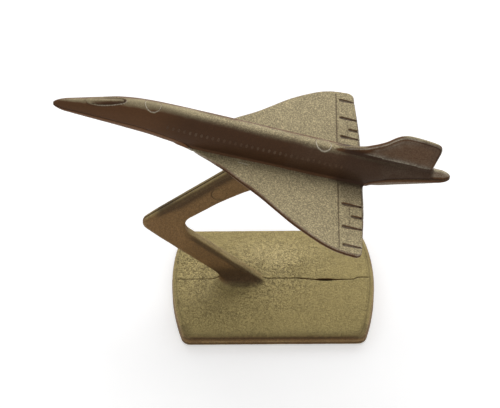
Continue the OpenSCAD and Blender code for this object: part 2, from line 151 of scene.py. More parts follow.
# Turned metals: material, tarnished colour, roughness
METALS = {"steel": ("tarnished_steel", (0.2, 0.18, 0.16), 0.3),
          "brass": ("tarnished_brass", (0.24, 0.16, 0.07), 0.28)}

# Stage, in metres: lamps with their power, size and place, and the photograph's view
FLOOR_REACH = 3.0
LAMPS = (("rear_window", "key_power", 2.4, (0.15, 1.2, 0.97)),
         ("low_front", "fill_power", 0.9, (-0.25, -1.3, 0.12)))
LAMP_TARGET = (0, 0, 0.06)
SENSOR_WIDTH, LENS = 36.0, 180.0
VIEW_LIFT, VIEW_TURN, VIEW_AWAY = math.radians(46.5), math.radians(-0.5), 1.269
VIEW_TARGET, VIEW_SHIFT = (-0.01184, 0, 0.0666), 0.00025


# Shapes as distances: each function takes coordinates and gives millimetres, negative inside


def soft_join(a, b, radius):
    """Two solids in one, with a fillet between them."""
    share = np.clip(0.5 + 0.5 * (b - a) / radius, 0, 1)
    return b + (a - b) * share - radius * share * (1 - share)


def soft_common(a, b, radius):
    """What two solids share, with a rounded edge."""
    return -soft_join(-a, -b, radius)


def soft_cut(a, b, radius):
    """The first solid without the second, with a rounded edge."""
    return -soft_join(-a, b, radius)


def slab(outline, across, half, edge):
    """A solid with an outline and a thickness, its edges rounded."""
    a = outline + edge
    b = np.abs(across) - half + edge
    return np.minimum(np.maximum(a, b), 0) + np.hypot(np.maximum(a, 0), np.maximum(b, 0)) - edge


def ease(value, start, end):
    """Rises smoothly from 0 at start to 1 at end."""
    t = np.clip((value - start) / (end - start), 0, 1)
    return t * t * (3 - 2 * t)


def mark(offset, width):
    """The rounded section of an engraved line, 1 in its middle."""
    return np.exp(-((offset / width) ** 2))


def oval(x, y, centre, size):
    """1 in the middle of an oval patch, fading out past its size."""
    return np.exp(-((x - centre[0]) / size[0]) ** 2 - ((y - centre[1]) / size[1]) ** 2)


def line_table(line, softness=2.5, step=0.25):
    """A profile through the given stations, its corners softened."""
    stations, heights = np.array(line, float).T
    x = np.arange(stations[0] - 8, stations[-1] + 8, step)
    reach = np.arange(-12, 12 + step, step)
    weights = np.exp(-((reach / softness) ** 2) / 2)
    y = np.interp(x[:, None] + reach, stations, heights) @ weights / weights.sum()
    return lambda at: np.interp(at, x, y)


def rounded_line(points, pieces=8):
    """Points of a smooth curve through the given points."""
    p = np.array(points, float)
    p = np.vstack([2 * p[0] - p[1], p, 2 * p[-1] - p[-2]])
    t = np.linspace(0, 1, pieces, endpoint=False)[:, None]
    curve = [0.5 * (2 * b + (c - a) * t + (2 * a - 5 * b + 4 * c - d) * t**2 + (3 * b - a - 3 * c + d) * t**3)
             for a, b, c, d in zip(p[:-3], p[1:-2], p[2:-1], p[3:])]
    return np.vstack(curve + [p[-2]])


def arc(centre, radius, start, end, count=12):
    """Points on an arc, angles in degrees."""
    a = np.radians(np.linspace(start, end, count))
    return np.stack([centre[0] + radius * np.cos(a), centre[1] + radius * np.sin(a)], 1)


def outline_table(points, step=0.25, border=6.0):
    """The distance to a closed outline, as a function of two coordinates."""
    p = np.array(points, float)
    low, high = p.min(0) - border, p.max(0) + border
    u, v = (np.arange(low[i], high[i] + step, step) for i in range(2))
    gu, gv = np.meshgrid(u, v, indexing="ij")
    nearest = np.full(gu.shape, 1e9)
    inside = np.zeros(gu.shape, bool)
    for (ax, ay), (bx, by) in zip(p, np.roll(p, -1, 0)):
        ex, ey = bx - ax, by - ay
        t = np.clip(((gu - ax) * ex + (gv - ay) * ey) / max(ex * ex + ey * ey, 1e-12), 0, 1)
        nearest = np.minimum(nearest, (gu - ax - t * ex) ** 2 + (gv - ay - t * ey) ** 2)
        if ay != by:
            inside ^= ((ay > gv) != (by > gv)) & (gu < ex * (gv - ay) / ey + ax)
    table = np.sqrt(nearest) * np.where(inside, -1, 1)

    def distance(a, b):
        fa = np.clip((a - low[0]) / step, 0, len(u) - 1.001)
        fb = np.clip((b - low[1]) / step, 0, len(v) - 1.001)
        beyond = np.hypot(a - low[0] - fa * step, b - low[1] - fb * step)
        ia, ib = fa.astype(int), fb.astype(int)
        ta, tb = fa - ia, fb - ib
        return beyond + ((table[ia, ib] * (1 - ta) + table[ia + 1, ib] * ta) * (1 - tb)
                         + (table[ia, ib + 1] * (1 - ta) + table[ia + 1, ib + 1] * ta) * tb)

    return distance


def lumps(points, size, seed):
    """Smooth random lumps of about that size, from -1 to 1."""
    q = points / size
    cell = np.floor(q).astype(np.int64)
    t = q - cell
    t = t * t * (3 - 2 * t)
    total = np.zeros(len(points))
    for corner in np.ndindex(2, 2, 2):
        k = cell + corner
        h = (k[:, 0] * 73856093) ^ (k[:, 1] * 19349663) ^ (k[:, 2] * 83492791) ^ (seed * 2654435761)
        h = ((h ^ (h >> 13)) * 1274126177) & 0xFFFFFFFF
        value = ((h ^ (h >> 16)) & 0xFFFF) / 32767.5 - 1
        total += value * np.prod(np.where(corner, t, 1 - t), axis=1)
    return total


# Casting: the surface of a solid given by its distance function


def surface_of(solid, low, high, step, coarse=4):
    """Points and four-sided faces where the distance is zero, found on a grid and settled onto the surface."""
    low, high = np.array(low, float), np.array(high, float)
    counts = np.ceil((high - low) / step / coarse).astype(int) * coarse + 1
    axes = [low[i] + step * np.arange(counts[i]) for i in range(3)]
    rough = solid(*(g.ravel() for g in np.meshgrid(*(a[::coarse] for a in axes), indexing="ij")))
    rough = rough.reshape([(n - 1) // coarse + 1 for n in counts])
    corners = [tuple(slice(c, c - 1 or None) for c in corner) for corner in np.ndindex(2, 2, 2)]
    near = np.min([np.abs(rough[c]) for c in corners], axis=0) < 1.1 * coarse * step
    cells = near
    for i in range(3):
        cells = cells.repeat(coarse, i)
    wanted = np.zeros(counts, bool)
    for c in corners:
        wanted[c] |= cells
    values = rough
    for i in range(3):
        values = values.repeat(coarse, i).take(np.arange(counts[i]), i)
    i, j, k = np.nonzero(wanted)
    values[wanted] = solid(axes[0][i], axes[1][j], axes[2][k])

    cell = np.stack(np.nonzero(cells), 1)
    corner_values = np.stack([values[tuple((cell + c).T)] for c in np.ndindex(2, 2, 2)], 1)
    mixed = (corner_values < 0).any(1) & (corner_values >= 0).any(1)
    cell, corner_values = cell[mixed], corner_values[mixed]
    number = np.full(cells.shape, -1, np.int64)
    number[tuple(cell.T)] = np.arange(len(cell))
    offsets = np.array(list(np.ndindex(2, 2, 2)), float)
    total, hits = np.zeros((len(cell), 3)), np.zeros(len(cell))
    for a in range(8):
        for b in range(a + 1, 8):
            if np.abs(offsets[a] - offsets[b]).sum() == 1:
                va, vb = corner_values[:, a], corner_values[:, b]
                crosses = (va < 0) != (vb < 0)
                t = np.where(crosses, va / np.where(crosses, va - vb, 1), 0)
                total += crosses[:, None] * (offsets[a] + t[:, None] * (offsets[b] - offsets[a]))
                hits += crosses
    points = low + step * (cell + total / hits[:, None])

    inside, faces = values < 0, []
    for axis in range(3):
        u, v = (axis + 1) % 3, (axis + 2) % 3
        here = [slice(1, -1)] * 3
        here[axis] = slice(0, -1)
        there = list(here)
        there[axis] = slice(1, None)
        start, end = inside[tuple(here)], inside[tuple(there)]
        edge = np.stack(np.nonzero(start != end), 1)
        out = start[tuple(edge.T)]
        edge[:, u] += 1
        edge[:, v] += 1
        ring = []
        for du, dv in ((-1, -1), (0, -1), (0, 0), (-1, 0)):
            at = edge.copy()
            at[:, u] += du
            at[:, v] += dv
            ring.append(number[tuple(at.T)])
        ring = np.stack(ring, 1)
        faces.append(np.where(out[:, None], ring, ring[:, ::-1]))
    faces = np.vstack(faces)
    for _ in range(3):
        f, slope = solid(*points.T), slope_of(solid, points, 0.05)
        move = np.clip(f / np.maximum((slope**2).sum(1), 0.2), -0.6 * step, 0.6 * step)
        points -= move[:, None] * slope
    return points, faces


def slope_of(solid, points, reach):
    """Which way the distance grows at each point."""
    steps = np.eye(3) * reach
    return np.stack([(solid(*(points + s).T) - solid(*(points - s).T)) / (2 * reach) for s in steps], 1)


def bend_of(solid, points, reach=0.7):
    """How sharply the surface is rounded: positive on outer edges, negative in inner corners."""
    total = -6 * solid(*points.T)
    for s in np.eye(3) * reach:
        total += solid(*(points + s).T) + solid(*(points - s).T)
    return total / reach**2


def in_flight(points):
    """From the aircraft's own axes to the row frame, in millimetres."""
    x, y, z = points.T
    return np.stack([x * math.cos(CLIMB) + z * math.sin(CLIMB), y,
                     WING_HEIGHT - x * math.sin(CLIMB) + z * math.cos(CLIMB)], 1)


def aircraft_axes(x, y, z):
    """From the row frame to the aircraft's own axes."""
    z = z - WING_HEIGHT
    return x * math.cos(CLIMB) - z * math.sin(CLIMB), y, x * math.sin(CLIMB) + z * math.cos(CLIMB)


def add_object(name, mesh, materials):
    """A new object at the origin, with its place in its mesh."""
    obj = bpy.data.objects.new(name, mesh)
    bpy.context.scene.collection.objects.link(obj)
    for m in materials:
        obj.data.materials.append(m)
    return obj


def make_plain(obj):
    """Turns the object's modifiers into a plain mesh."""
    graph = bpy.context.evaluated_depsgraph_get()
    made = bpy.data.meshes.new_from_object(obj.evaluated_get(graph), preserve_all_data_layers=True,
                                           depsgraph=graph)
    old = obj.data
    obj.modifiers.clear()
    obj.data = made
    bpy.data.meshes.remove(old)
    return obj


def cast_piece(name, solid, low, high, step, material, place=None, outer=None, grain=0.0, quiet=None,
               looks=None):
    """A cast piece: its skin from a distance function, its sand grain, and masks that its finish reads.

    Faces deeper than the outer shape's skin are hidden ones, and are thinned. Grain leaves out the quiet zone.
    """
    points, faces = surface_of(solid, low, high, step)
    whole = outer or solid
    bend = bend_of(whole, points)
    hidden = whole(*points.T) < -0.5 if outer else np.zeros(len(points), bool)
    if grain:
        normal = slope_of(solid, points, 0.1)
        normal /= np.linalg.norm(normal, axis=1)[:, None]
        rough = 0.6 * lumps(points, 3.1, 1) + 0.4 * lumps(points, 1.3, 2)
        calm = hidden if quiet is None else hidden | quiet(*points.T)
        points = points + normal * (rough * grain * ~calm)[:, None]
    # From the rounding: outer edges lighter, partly real wear and partly painted highlight; inner corners
    # darker, painted shade
    masks = {"worn": ease(bend, 0.35, 1.6), "hollow": ease(-bend, 0.15, 1.1)}
    if looks:
        for label, values in looks(*points.T).items():
            masks[label] = np.clip(masks.get(label, 0) + values, 0, 1)
    placed = (place(points) if place else points) * MM
    mesh = bpy.data.meshes.new(name)
    mesh.from_pydata(placed.tolist(), [], faces.tolist())
    for label, values in masks.items():
        values = np.where(hidden, label == "hollow", values)
        mesh.attributes.new(label, "FLOAT", "POINT").data.foreach_set("value", values.astype(np.float32))
    mesh.polygons.foreach_set("use_smooth", np.ones(len(faces), bool))
    obj = add_object(name, mesh, [material])
    if hidden.mean() > 0.05:
        group = obj.vertex_groups.new(name="inner_faces")
        group.add(np.nonzero(hidden)[0].tolist(), 1.0, "REPLACE")
        thin = obj.modifiers.new("thin_inner_faces", "DECIMATE")
        thin.vertex_group = group.name
        thin.ratio = 1 - 0.85 * float(hidden.mean())
        make_plain(obj)
        obj.vertex_groups.clear()
    print(f"{name}: {len(obj.data.polygons)} faces")
    return obj


# The aircraft's own shapes


class AircraftShape:
    """Distances to the fuselage, wings and fin, in the aircraft's own axes."""

    def __init__(self, sizes):
        self.top, self.middle, self.bottom, self.width, self.seam = (
            line_table(line) for line in (TOP_LINE, MIDDLE_LINE, BOTTOM_LINE, HALF_WIDTH, SEAM_LINE))
        corner = (TIP_REAR - TIP_ROUND, HALF_SPAN - TIP_ROUND)
        self.plan = outline_table(np.vstack([
            [(-50, -12)], rounded_line(LEADING_EDGE), arc(corner, TIP_ROUND, 90, 0),
            rounded_line(TRAILING_EDGE), [(49, -12)]]))
        self.side = outline_table(np.vstack([
            [(14, 8)], rounded_line(FIN_OUTLINE), [(78.7, 8)]]))
        self.sizes = sizes

    def fuselage(self, x, y, z):
        ends = (np.maximum(NOSE + NOSE_ROUND - x, 0) / NOSE_ROUND
                + np.maximum(x - TAIL + TAIL_ROUND, 0) / TAIL_ROUND)
        end_rate = np.where(x < 0, 1 / NOSE_ROUND, 1 / TAIL_ROUND)
        at = np.clip(x, NOSE, TAIL)
        middle = self.middle(at)
        up = np.maximum(self.top(at) - middle, 0.6)
        down = np.maximum(middle - self.bottom(at), 0.6)
        rise = z - middle
        tall, wide = np.where(rise > 0, up, down), self.width(at)
        out = np.sqrt(ends**2 + (y / wide) ** 2 + (rise / tall) ** 2)
        rate = np.sqrt((ends * end_rate) ** 2 + (y / wide**2) ** 2 + (rise / tall**2) ** 2)
        return out * (out - 1) / np.maximum(rate, 1e-3)

    def wings(self, x, y, z):
        bottom = -WING_THICKNESS + 1.7 * (1 - ease(x, -46, -18))
        outline = self.plan(x, np.abs(y))
        return slab(outline, z - bottom / 2, -bottom / 2, np.minimum(0.95, -bottom / 2))

    def fin(self, x, y, z):
        return slab(self.side(x, z), y, FIN_HALF, 0.8)

    def whole(self, x, y, z):
        sizes = self.sizes
        body = soft_join(self.fuselage(x, y, z), self.wings(x, y, z), sizes.root_fillet / MM)
        body = soft_join(body, self.fin(x, y, z), sizes.fin_fillet / MM)
        return body + self.engraving(x, y, z)

    def engraving(self, x, y, z):
        """How deep the skin is let in: hinge groove, slots, nozzle panels, cockpit glass and tail ledge."""
        sizes, side = self.sizes, np.abs(y)
        on_top = ease(z, -1.0, -0.3) * (1 - ease(z, 1.0, 2.0))
        across = ease(side, 9.5, 11.5) * (1 - ease(side, 53.5, 55))
        depth = sizes.hinge_depth / MM * mark(x - HINGE - SKEW * y, 0.36) * across
        for near, far, start in SLOTS:
            along = x - start - SKEW * y
            run = ease(along, -1.0, 1.0) * (1 - 0.3 * ease(x, 38, 47))
            half = sizes.slot_width / MM / 2 * (0.85 - 0.4 * ease(along, 1, 11))
            off = np.where(y < 0, -y - near, far - y)
            cut = mark(off, half * np.where(off > 0, 0.8, 0.55))
            depth = np.maximum(depth, 0.6 * sizes.slot_depth / MM * run * cut)
        panel = mark(x - 39.0 - SKEW * y, 0.5) * ease(side, 24.5, 25.5) * (1 - ease(side, 36.5, 37.5))
        depth = np.maximum(depth, 0.14 * panel) * on_top
        glass, rim = self.cockpit(x, y, z)
        depth += 0.8 * glass - 0.07 * rim
        ledge = ease(z - self.seam(x), -0.1, 0.35) * ease(x, 52, 58)
        depth += 0.35 * ledge * ease(side, 0.5, 2.0) * (1 - ease(z - self.seam(x), 2.5, 5))
        arch = mark(self.side(x, z) + 2.5, 0.4) * ease(z, 16, 19) * ease(x, 42, 47) * ease(side, 0.4, 0.8)
        return depth - 0.09 * arch

    @staticmethod
    def cockpit(x, y, z):
        """How far a point is in the sunk side of the cockpit glass, and on the raised lip around it."""
        t = np.clip((x - COCKPIT_FRONT) / COCKPIT_LENGTH, 0, 1)
        edge = COCKPIT_HALF * np.sin(np.pi * t**0.9) ** 0.3 - np.abs(y)
        here = ease(z, 7, 9) * ease(x, -100.5, -98.5) * (1 - ease(x, -81, -79)) * (1 - 0.6 * ease(y, -0.5, 1))
        inside = ease(edge, -0.1, 0.3) * (1 - ease(edge, 0.2, 3.1))
        glass = inside * (0.45 + 0.55 * ease(x, -96, -88)) * ease(x, -98, -95)
        return glass * here, mark(edge + 0.35, 0.45) * here

    def above_seam(self, x, z):
        """The distance to the seam between the halves: negative above it, positive below it."""
        slope = self.seam(x + 0.5) - self.seam(x - 0.5)
        return (self.seam(x) - z) / np.sqrt(1 + slope**2)

    def pin_holes(self, x, y, z):
        """The seats of both spine pins."""
        holes = np.full(np.shape(x), 1e3)
        for place, seat, end in (FRONT_PIN, REAR_PIN):
            out = np.hypot(x - place, y)
            head = np.maximum(out - PIN_RADIUS - 0.04, seat - 0.03 - z)
            shank = np.maximum(out - SHANK_RADIUS - 0.03, end - 0.03 - z)
            holes = np.minimum(holes, np.minimum(head, shank))
        return holes

    def upper(self, x, y, z):
        half = soft_common(self.whole(x, y, z), self.above_seam(x, z), self.sizes.seam_round / MM)
        return soft_cut(half, self.pin_holes(x, y, z), 0.12)

    def lower(self, x, y, z):
        out = np.hypot(x - PIVOT_X, y)
        boss = slab(out - BOSS_RADIUS, z - BELLY_FACE - BOSS_HALF, BOSS_HALF, 0.4)
        half = soft_join(self.whole(x, y, z), boss, 1.2)
        half = soft_common(half, -self.above_seam(x, z), self.sizes.seam_round / MM)
        half = soft_cut(half, self.pin_holes(x, y, z), 0.3)
        return soft_cut(half, out - BUSH_HOLE, 0.3)

    def looks(self, x, y, z):
        """Masks of the skin besides what its rounding gives: painted shade, with the dark seam; lightening,
        partly real wear and partly painted highlight; and how coarse it is.
        """
        ring = np.minimum(*(np.abs(np.hypot(x - p[0], y) - PIN_RADIUS) for p in (FRONT_PIN, REAR_PIN)))
        root, fin, below = self.fuselage(x, y, z), self.side(x, z), self.above_seam(x, z)
        glass, rim = self.cockpit(x, y, z)
        aft, tail_end, on_back = ease(x, 47, 51), ease(x, 78, 81), z > 8
        slots = ease(self.engraving(x, y, z), 0.06, 0.35) * (x > 34.8) * (z < 3)
        # Painted shade on the fuselage's flank: the near side, turned away from the light behind, darkened high
        # up, the far side only low down
        out = y / self.width(x)
        near_side = ease(-out + 0.08 + 0.22 * ease(-x, 40, 72), 0.0, 0.5)
        far_side = ease(out, 0.75, 0.95)
        flank = mark(root, 0.6) * np.maximum(z < self.middle(x), np.maximum(near_side, far_side))
        # Painted shade on the back beside the fin's root
        beside_fin = mark(root, 2.2) * ease(x, 26, 37) * (z > self.seam(x))
        side = np.maximum(flank * (1 - 0.4 * ease(-x, 45, 70)), beside_fin) * (below < 0) * (1 - tail_end)
        # A light mark on the near wing by the fuselage: a real scratch, its glint painted as a highlight
        scratch_and_glint = (mark(y + 10.8 + 0.1 * (x + 16), 0.45) * ease(x, -20, -18.5)
                   * (1 - ease(x, -14.5, -12.5)) * (z > -1))
        # Painted shade: a dark band under the fin's top edge
        under_edge = mark(fin + 0.8, 0.6) * ease(np.abs(y), 0.5, 1.1) * ease(x, 58, 70) * (z > 20)
        # Painted light: the fin's face made lighter than the fuselage's side
        fin_face = ease(-fin, 0.6, 1.6) * (z > self.top(x) + 0.6) * ease(x, 40, 48)
        # Darker: the seam between the halves, a real dark joint; painted shade in the cockpit's recess, under
        # the fin's top edge and beside the fin; and a lighter ring round each pin head, painted highlight
        hollow = (0.9 * mark(below + 0.35 * aft, 0.4 + 0.15 * aft) - 0.45 * mark(ring, 0.8) * on_back
                  + 1.2 * glass + under_edge + 0.6 * beside_fin * (z < self.top(x) + 1) * (1 - tail_end))
        # Lighter, as painted highlight: the pin rings, the fin's face, the slots' lips, the flank's painted
        # shade eased toward the tail, the strip under the tail's seam and the tail's end; darker on the
        # cockpit's rim and the tail's seam line
        worn = (0.25 * mark(ring, 0.45) * on_back - 0.35 - 0.4 * rim + scratch_and_glint + 0.5 * fin_face + 0.46 * slots
                + (0.37 * ease(x, -40, 10) + 0.04 * ease(x, 48, 58)) * side
                + aft * (0.55 * ease(below, 0.9, 1.6) - mark(below - 0.4, 0.6))
                + 0.8 * tail_end * ease(-below, 0.8, 1.8))
        # Painted shade: on the wings by the fuselage, more on the near side; on the flank and beside the fin;
        # inside the fin's edge; on the cockpit's rim; and on the near elevons behind the fuselage
        grime = ((0.27 + 0.22 * (y < 0)) * np.exp(-np.maximum(root, 0) / 6) * ease(root, 0.3, 1.5)
                 * (np.abs(y) > 8) + side + 0.3 * mark(fin + 2.6, 1.6) * (z > 17) + 0.4 * rim
                 + 0.5 * ease(x, 30, 36) * (1 - ease(np.abs(y), 14, 27)) * (y < 0))
        return {"hollow": hollow, "worn": worn, "grime": grime, "coarse": 0.12 - 0.07 * ease(-x, 30, 60)}

    def pin(self, place, seat, end):
        """A spine pin, its head domed like the back around it."""
        def solid(x, y, z):
            out = np.hypot(x - place, y)
            head = np.maximum(out - PIN_RADIUS - 0.2, seat - z)
            head = soft_common(head, self.fuselage(x, y, z) - 0.06, 0.15)
            shank = np.maximum(np.maximum(out - SHANK_RADIUS, end - z), z - seat - 1)
            return soft_join(head, shank, 0.3)
        return solid


def limb_sides():
    """The directions square to the upper and the lower limb, both pointing up."""
    return (np.array((-math.sin(UPPER_SLOPE), math.cos(UPPER_SLOPE))),
            np.array((math.sin(LOWER_SLOPE), math.cos(LOWER_SLOPE))))


class StandShape:
    """Distances to the base and the bent arm, in the row frame's axes."""

    def __init__(self, sizes):
        self.sizes = sizes
        bulge = (BASE_LENGTH - BASE_EDGE) / 2
        radius = (BASE_HALF_DEPTH**2 + bulge**2) / (2 * bulge)
        centre = BASE_LENGTH / 2 - radius
        corner = BASE_CORNER
        corner_y = BASE_HALF_DEPTH - corner
        corner_x = centre + math.sqrt((radius - corner) ** 2 - corner_y**2)
        turn = math.degrees(math.asin(corner_y / (radius - corner)))
        quarter = np.vstack([arc((centre, 0), radius, 0, turn, 24),
                             arc((corner_x, corner_y), corner, turn, 90, 10)])
        half = np.vstack([quarter, (quarter * (-1, 1))[::-1]])
        self.plan = outline_table(np.vstack([half, (half * (1, -1))[::-1]]))
        drop = BASE_CREST - BASE_WALL
        self.crown = (BASE_HALF_DEPTH**2 + drop**2) / (2 * drop)
        self.arm_outline = outline_table(self.arm_points())

    @staticmethod
    def arm_points():
        """The arm's outline in the plane of the bend."""
        up_dir = np.array((math.cos(UPPER_SLOPE), math.sin(UPPER_SLOPE)))
        low_dir = np.array((math.cos(LOWER_SLOPE), -math.sin(LOWER_SLOPE)))
        up_side, low_side = limb_sides()
        half_angle = (UPPER_SLOPE + LOWER_SLOPE) / 2
        mean = (UPPER_HALF + LOWER_HALF) / 2
        outer = ELBOW + ((OUTER_ROUND - mean) / math.sin(half_angle), 0)
        inner = ELBOW + ((mean + INNER_ROUND) / math.sin(half_angle), -INNER_DROP)
        start, end = 90 + math.degrees(UPPER_SLOPE), 270 - math.degrees(LOWER_SLOPE)
        return np.vstack([
            ELBOW + up_side * UPPER_HALF + up_dir * 78,
            arc(outer, OUTER_ROUND, start, end),
            ELBOW - low_side * LOWER_HALF + low_dir * 66,
            ELBOW + low_side * LOWER_HALF + low_dir * 76,
            arc(inner, INNER_ROUND, end, start),
            rounded_line(HEAD_CURVE),
            [(19.5, 93.5), (15, 101)]])

    def base(self, x, y, z):
        top = BASE_CREST - self.crown + np.sqrt(np.maximum(self.crown**2 - y * y, 1))
        plan = self.plan(x, y)
        edge = self.sizes.rim_round / MM
        a, b = plan + edge, z - top + edge
        body = np.minimum(np.maximum(a, b), 0) + np.hypot(np.maximum(a, 0), np.maximum(b, 0)) - edge
        body = body + 0.12 * mark(plan + 3.4, 0.5) * ease(z, 3, 5) * ease(np.abs(x), 36, 43)
        return soft_common(body, BASE_FLOOR - z, 0.5)

    def arm(self, x, y, z):
        edge = self.sizes.arm_round / MM * (1 + 0.4 * (1 - ease(x, -67, -58)))
        body = slab(self.arm_outline(x, z), y, ARM_HALF, edge)
        ax, _, az = aircraft_axes(x, y, z)
        out = np.hypot(ax - PIVOT_X, y)
        boss = slab(out - HEAD_RADIUS, az - (SEAT_FACE + SPOT_FACE) / 2, (SEAT_FACE - SPOT_FACE) / 2, 0.4)
        body = soft_join(body, boss, 1.5)
        body = soft_common(body, az - SEAT_FACE, 0.5)
        seat = slab(out - SPOT_RADIUS, az - SPOT_FACE + 4, 4, 0.2)
        return soft_cut(body, seat, 0.4)

    def whole(self, x, y, z):
        flare = self.sizes.foot_flare / MM * (1 + 0.3 * (1 - ease(x, -30, -22)) - 0.75 * ease(x, -12, -6))
        body = soft_join(self.base(x, y, z), self.arm(x, y, z), flare)
        return soft_common(body, BASE_FLOOR - z, 0.4)

    def seam(self, x, y, z):
        """How far a point lies behind the seam, which wanders a little along the base."""
        line = np.interp(x, *zip(*SEAM_JOG))
        return y - line * (1 - ease(z, 10, 13))

    def seam_shows(self, x, z):
        """How much the seam shows: fully but for the lower limb and the base's ends, where it is smooth."""
        start = 13 - 3 * ease(x, -18, -10)
        limb = ease(z, start, start + 1.2) * (1 - ease(z, 46, 52)) * (1 - ease(x, 0, 4)) * ease(x, -62, -45)
        return (1 - limb) * (1 - ease(np.abs(x), 49, 51) * (1 - ease(z, 12, 14)))

    def crack(self, x, z):
        """Half the width that the seam has opened to."""
        ragged = np.interp(x, *zip(*CRACK))
        return self.sizes.crack_width / MM / 2 * ragged * ease(z, 4, 6.5) * (1 - ease(z, 10, 12))

    def cuts(self, x, y, z):
        """All that is cut out of the halves: holes for pivot, pin, screws and dowels, and the plate's recess."""
        ax, _, az = aircraft_axes(x, y, z)
        hollow = np.maximum(np.hypot(ax - PIVOT_X, y) - 1.55, SPOT_FACE - 1 - az)
        hollow = np.minimum(hollow, np.hypot(x - ARM_PIN[0], z - ARM_PIN[1]) - ARM_PIN_RADIUS - 0.02)
        plate = np.maximum(np.maximum(np.abs(x) - PLATE[0], np.abs(y) - PLATE[1]), z - PLATE[2])
        hollow = np.minimum(hollow, plate)
        for sx, sy in SCREWS:
            hollow = np.minimum(hollow, np.maximum(np.hypot(x - sx, y - sy) - FIXING_HOLE, z - 5.7))
        dowel = np.maximum(np.hypot(np.abs(x) - DOWEL_X, z - DOWEL_Z) - FIXING_HOLE, np.abs(y) - 5.3)
        return np.minimum(hollow, dowel)

    def half(self, side):
        """The near half for side -1 and the far half for side 1."""
        def solid(x, y, z):
            behind = self.seam(x, y, z) * side
            shows = self.seam_shows(x, z)
            rounding = self.sizes.seam_round / MM * (0.08 + 0.92 * shows)
            body = soft_common(self.whole(x, y, z), self.crack(x, z) - behind - 0.3 * (1 - shows), rounding)
            return soft_cut(body, self.cuts(x, y, z), self.ring_round(x, z))
        return solid

    @staticmethod
    def ring_round(x, z):
        """Edge rounding of the holes. Around the arm pin it is left only at the lower left."""
        px, pz = x - ARM_PIN[0], z - ARM_PIN[1]
        near_pin = 1 - ease(np.hypot(px, pz), 6, 7)
        return 0.4 - 0.36 * near_pin * ease(px + pz, -1.5, 2.5)

    def looks(self, x, y, z):
        """Masks of the skin besides what its rounding gives: painted shade and shadow, with the dark seam;
        lightening, partly real wear and partly painted highlight and pools of light; and how coarse it is.
        """
        top = ease(z, 4.5, 6.5) * (1 - ease(z, 11, 13))
        plan, arm = self.plan(x, y), self.arm(x, y, z)
        ends, wall = ease(np.abs(x), 38, 47), ease(plan, -1.3, -0.6) * (np.abs(y) > 36)
        px, pz = x - ARM_PIN[0], z - ARM_PIN[1]
        ring = mark(np.hypot(px, pz) - ARM_PIN_RADIUS, 0.4) * ease(-px - pz, -1, 3)
        up_side, low_side = limb_sides()
        off = np.stack([x, z]) - ELBOW[:, None]
        into = (UPPER_HALF - up_side @ off) * (1 + 0.7 * (1 - ease(x, -57, -46)))
        under = LOWER_HALF - low_side @ off
        # Painted shade: dark bands along the limbs' near faces, under their top edges
        lower_band = (np.maximum(mark(under - 1.1, 1.5), 0.25 * ease(under, 0, 2)) * (1 - ease(y, -2.5, -1.4))
                      * (z < 52) * ease(x, -48, -38))
        bands = ease(into, 0.1, 1.0) * (1 - ease(into, 2.6, 6.6)) * ease(x, -62, -56) * (z > 51) + lower_band
        # Painted shadow: a dark patch on the base in front of the arm's foot, and the foot's near face
        patch = (1 - ease(np.hypot((x + 16.2) / 10.2, (y + 2.6) / 4.4), 0.75, 1.2)) * (1 - ease(z, 12, 16))
        foot = np.maximum(patch, 0.9 * (1 - ease(z, 11, 28)) * ease(-x, 6, 12) * (np.abs(arm) < 1)) * (y < 0)
        # Painted highlight: a light strip along the lower limb's top, on its near side
        strip = ((1 - ease(np.abs(under), 0.4, 2)) * ease(y, -2.6, -1.4) * ease(x, -48, -38)
                 * (z < 52) * (z > 11))
        # Painted pools of light on the base's top, and the lower limb's painted highlight
        rubbed = sum(share * oval(x, y, centre, size) for share, centre, size in PAINTED_LIGHT_PATCHES) * top + strip
        coarse = sum(share * oval(x, y, centre, size) for share, centre, size in COARSE)
        coarse *= 1 - ease(z, 10, 12)
        # Darker: the seam, a real dark joint, and the seam along the arm's head; the pin's gap darkened only at
        # its lower left, painted shade; and painted shade in the line inside the base's ends, along the front
        # and back walls and at the foot
        hollow = (0.9 * mark(self.seam(x, y, z), 0.35) * self.seam_shows(x, z) + 0.45 * ring
                  + 0.5 * mark(plan + 2.2, 0.45) * top * ends + 0.8 * mark(z - 5.4, 0.75) * wall
                  + 0.8 * mark(z - 2.1, 0.5) * wall + 0.3 * foot + 0.6 * mark(y, 0.32) * (z > 54))
        # Lighter: the ends' rims and a line along the walls, painted highlights; the coarse patches, partly real
        # wear and partly painted highlight; the painted pools of light; darker round the arm pin
        worn = (0.5 * ends * mark(plan + 0.5, 0.35) * top + 0.3 * mark(z - 3.5, 0.4) * wall
                - mark(np.hypot(px, pz) - ARM_PIN_RADIUS, 0.9) + 0.2 * coarse + 0.3 * rubbed)
        # Painted shade: on the base beside and in front of the foot, along the arm and more near its head, in
        # the bands, at the foot, and along the base's front edge
        grime = (0.8 * np.exp(-np.maximum(arm, 0) / 3.5) * (1 - ease(z, 11, 26)) * ease(-x, 5, 13)
                 * (0.1 + 0.9 * ease(-y, 0, 3)) + (0.06 + 0.1 * ease(z, 56, 64) + bands) * (np.abs(arm) < 1)
                 + 0.52 * foot + 0.6 * mark(plan + 0.4, 3.0) * top * (y < -30))
        return {"hollow": hollow, "worn": worn, "grime": grime,
                "coarse": 0.22 + 0.02 * (1 - ease(z, 10, 12)) + 0.62 * coarse}

    def pin(self, x, y, z):
        """The arm pin, flush with the arm."""
        out = np.hypot(x - ARM_PIN[0], z - ARM_PIN[1]) - ARM_PIN_RADIUS
        return soft_common(self.arm(x, y, z), out, self.ring_round(x, z))


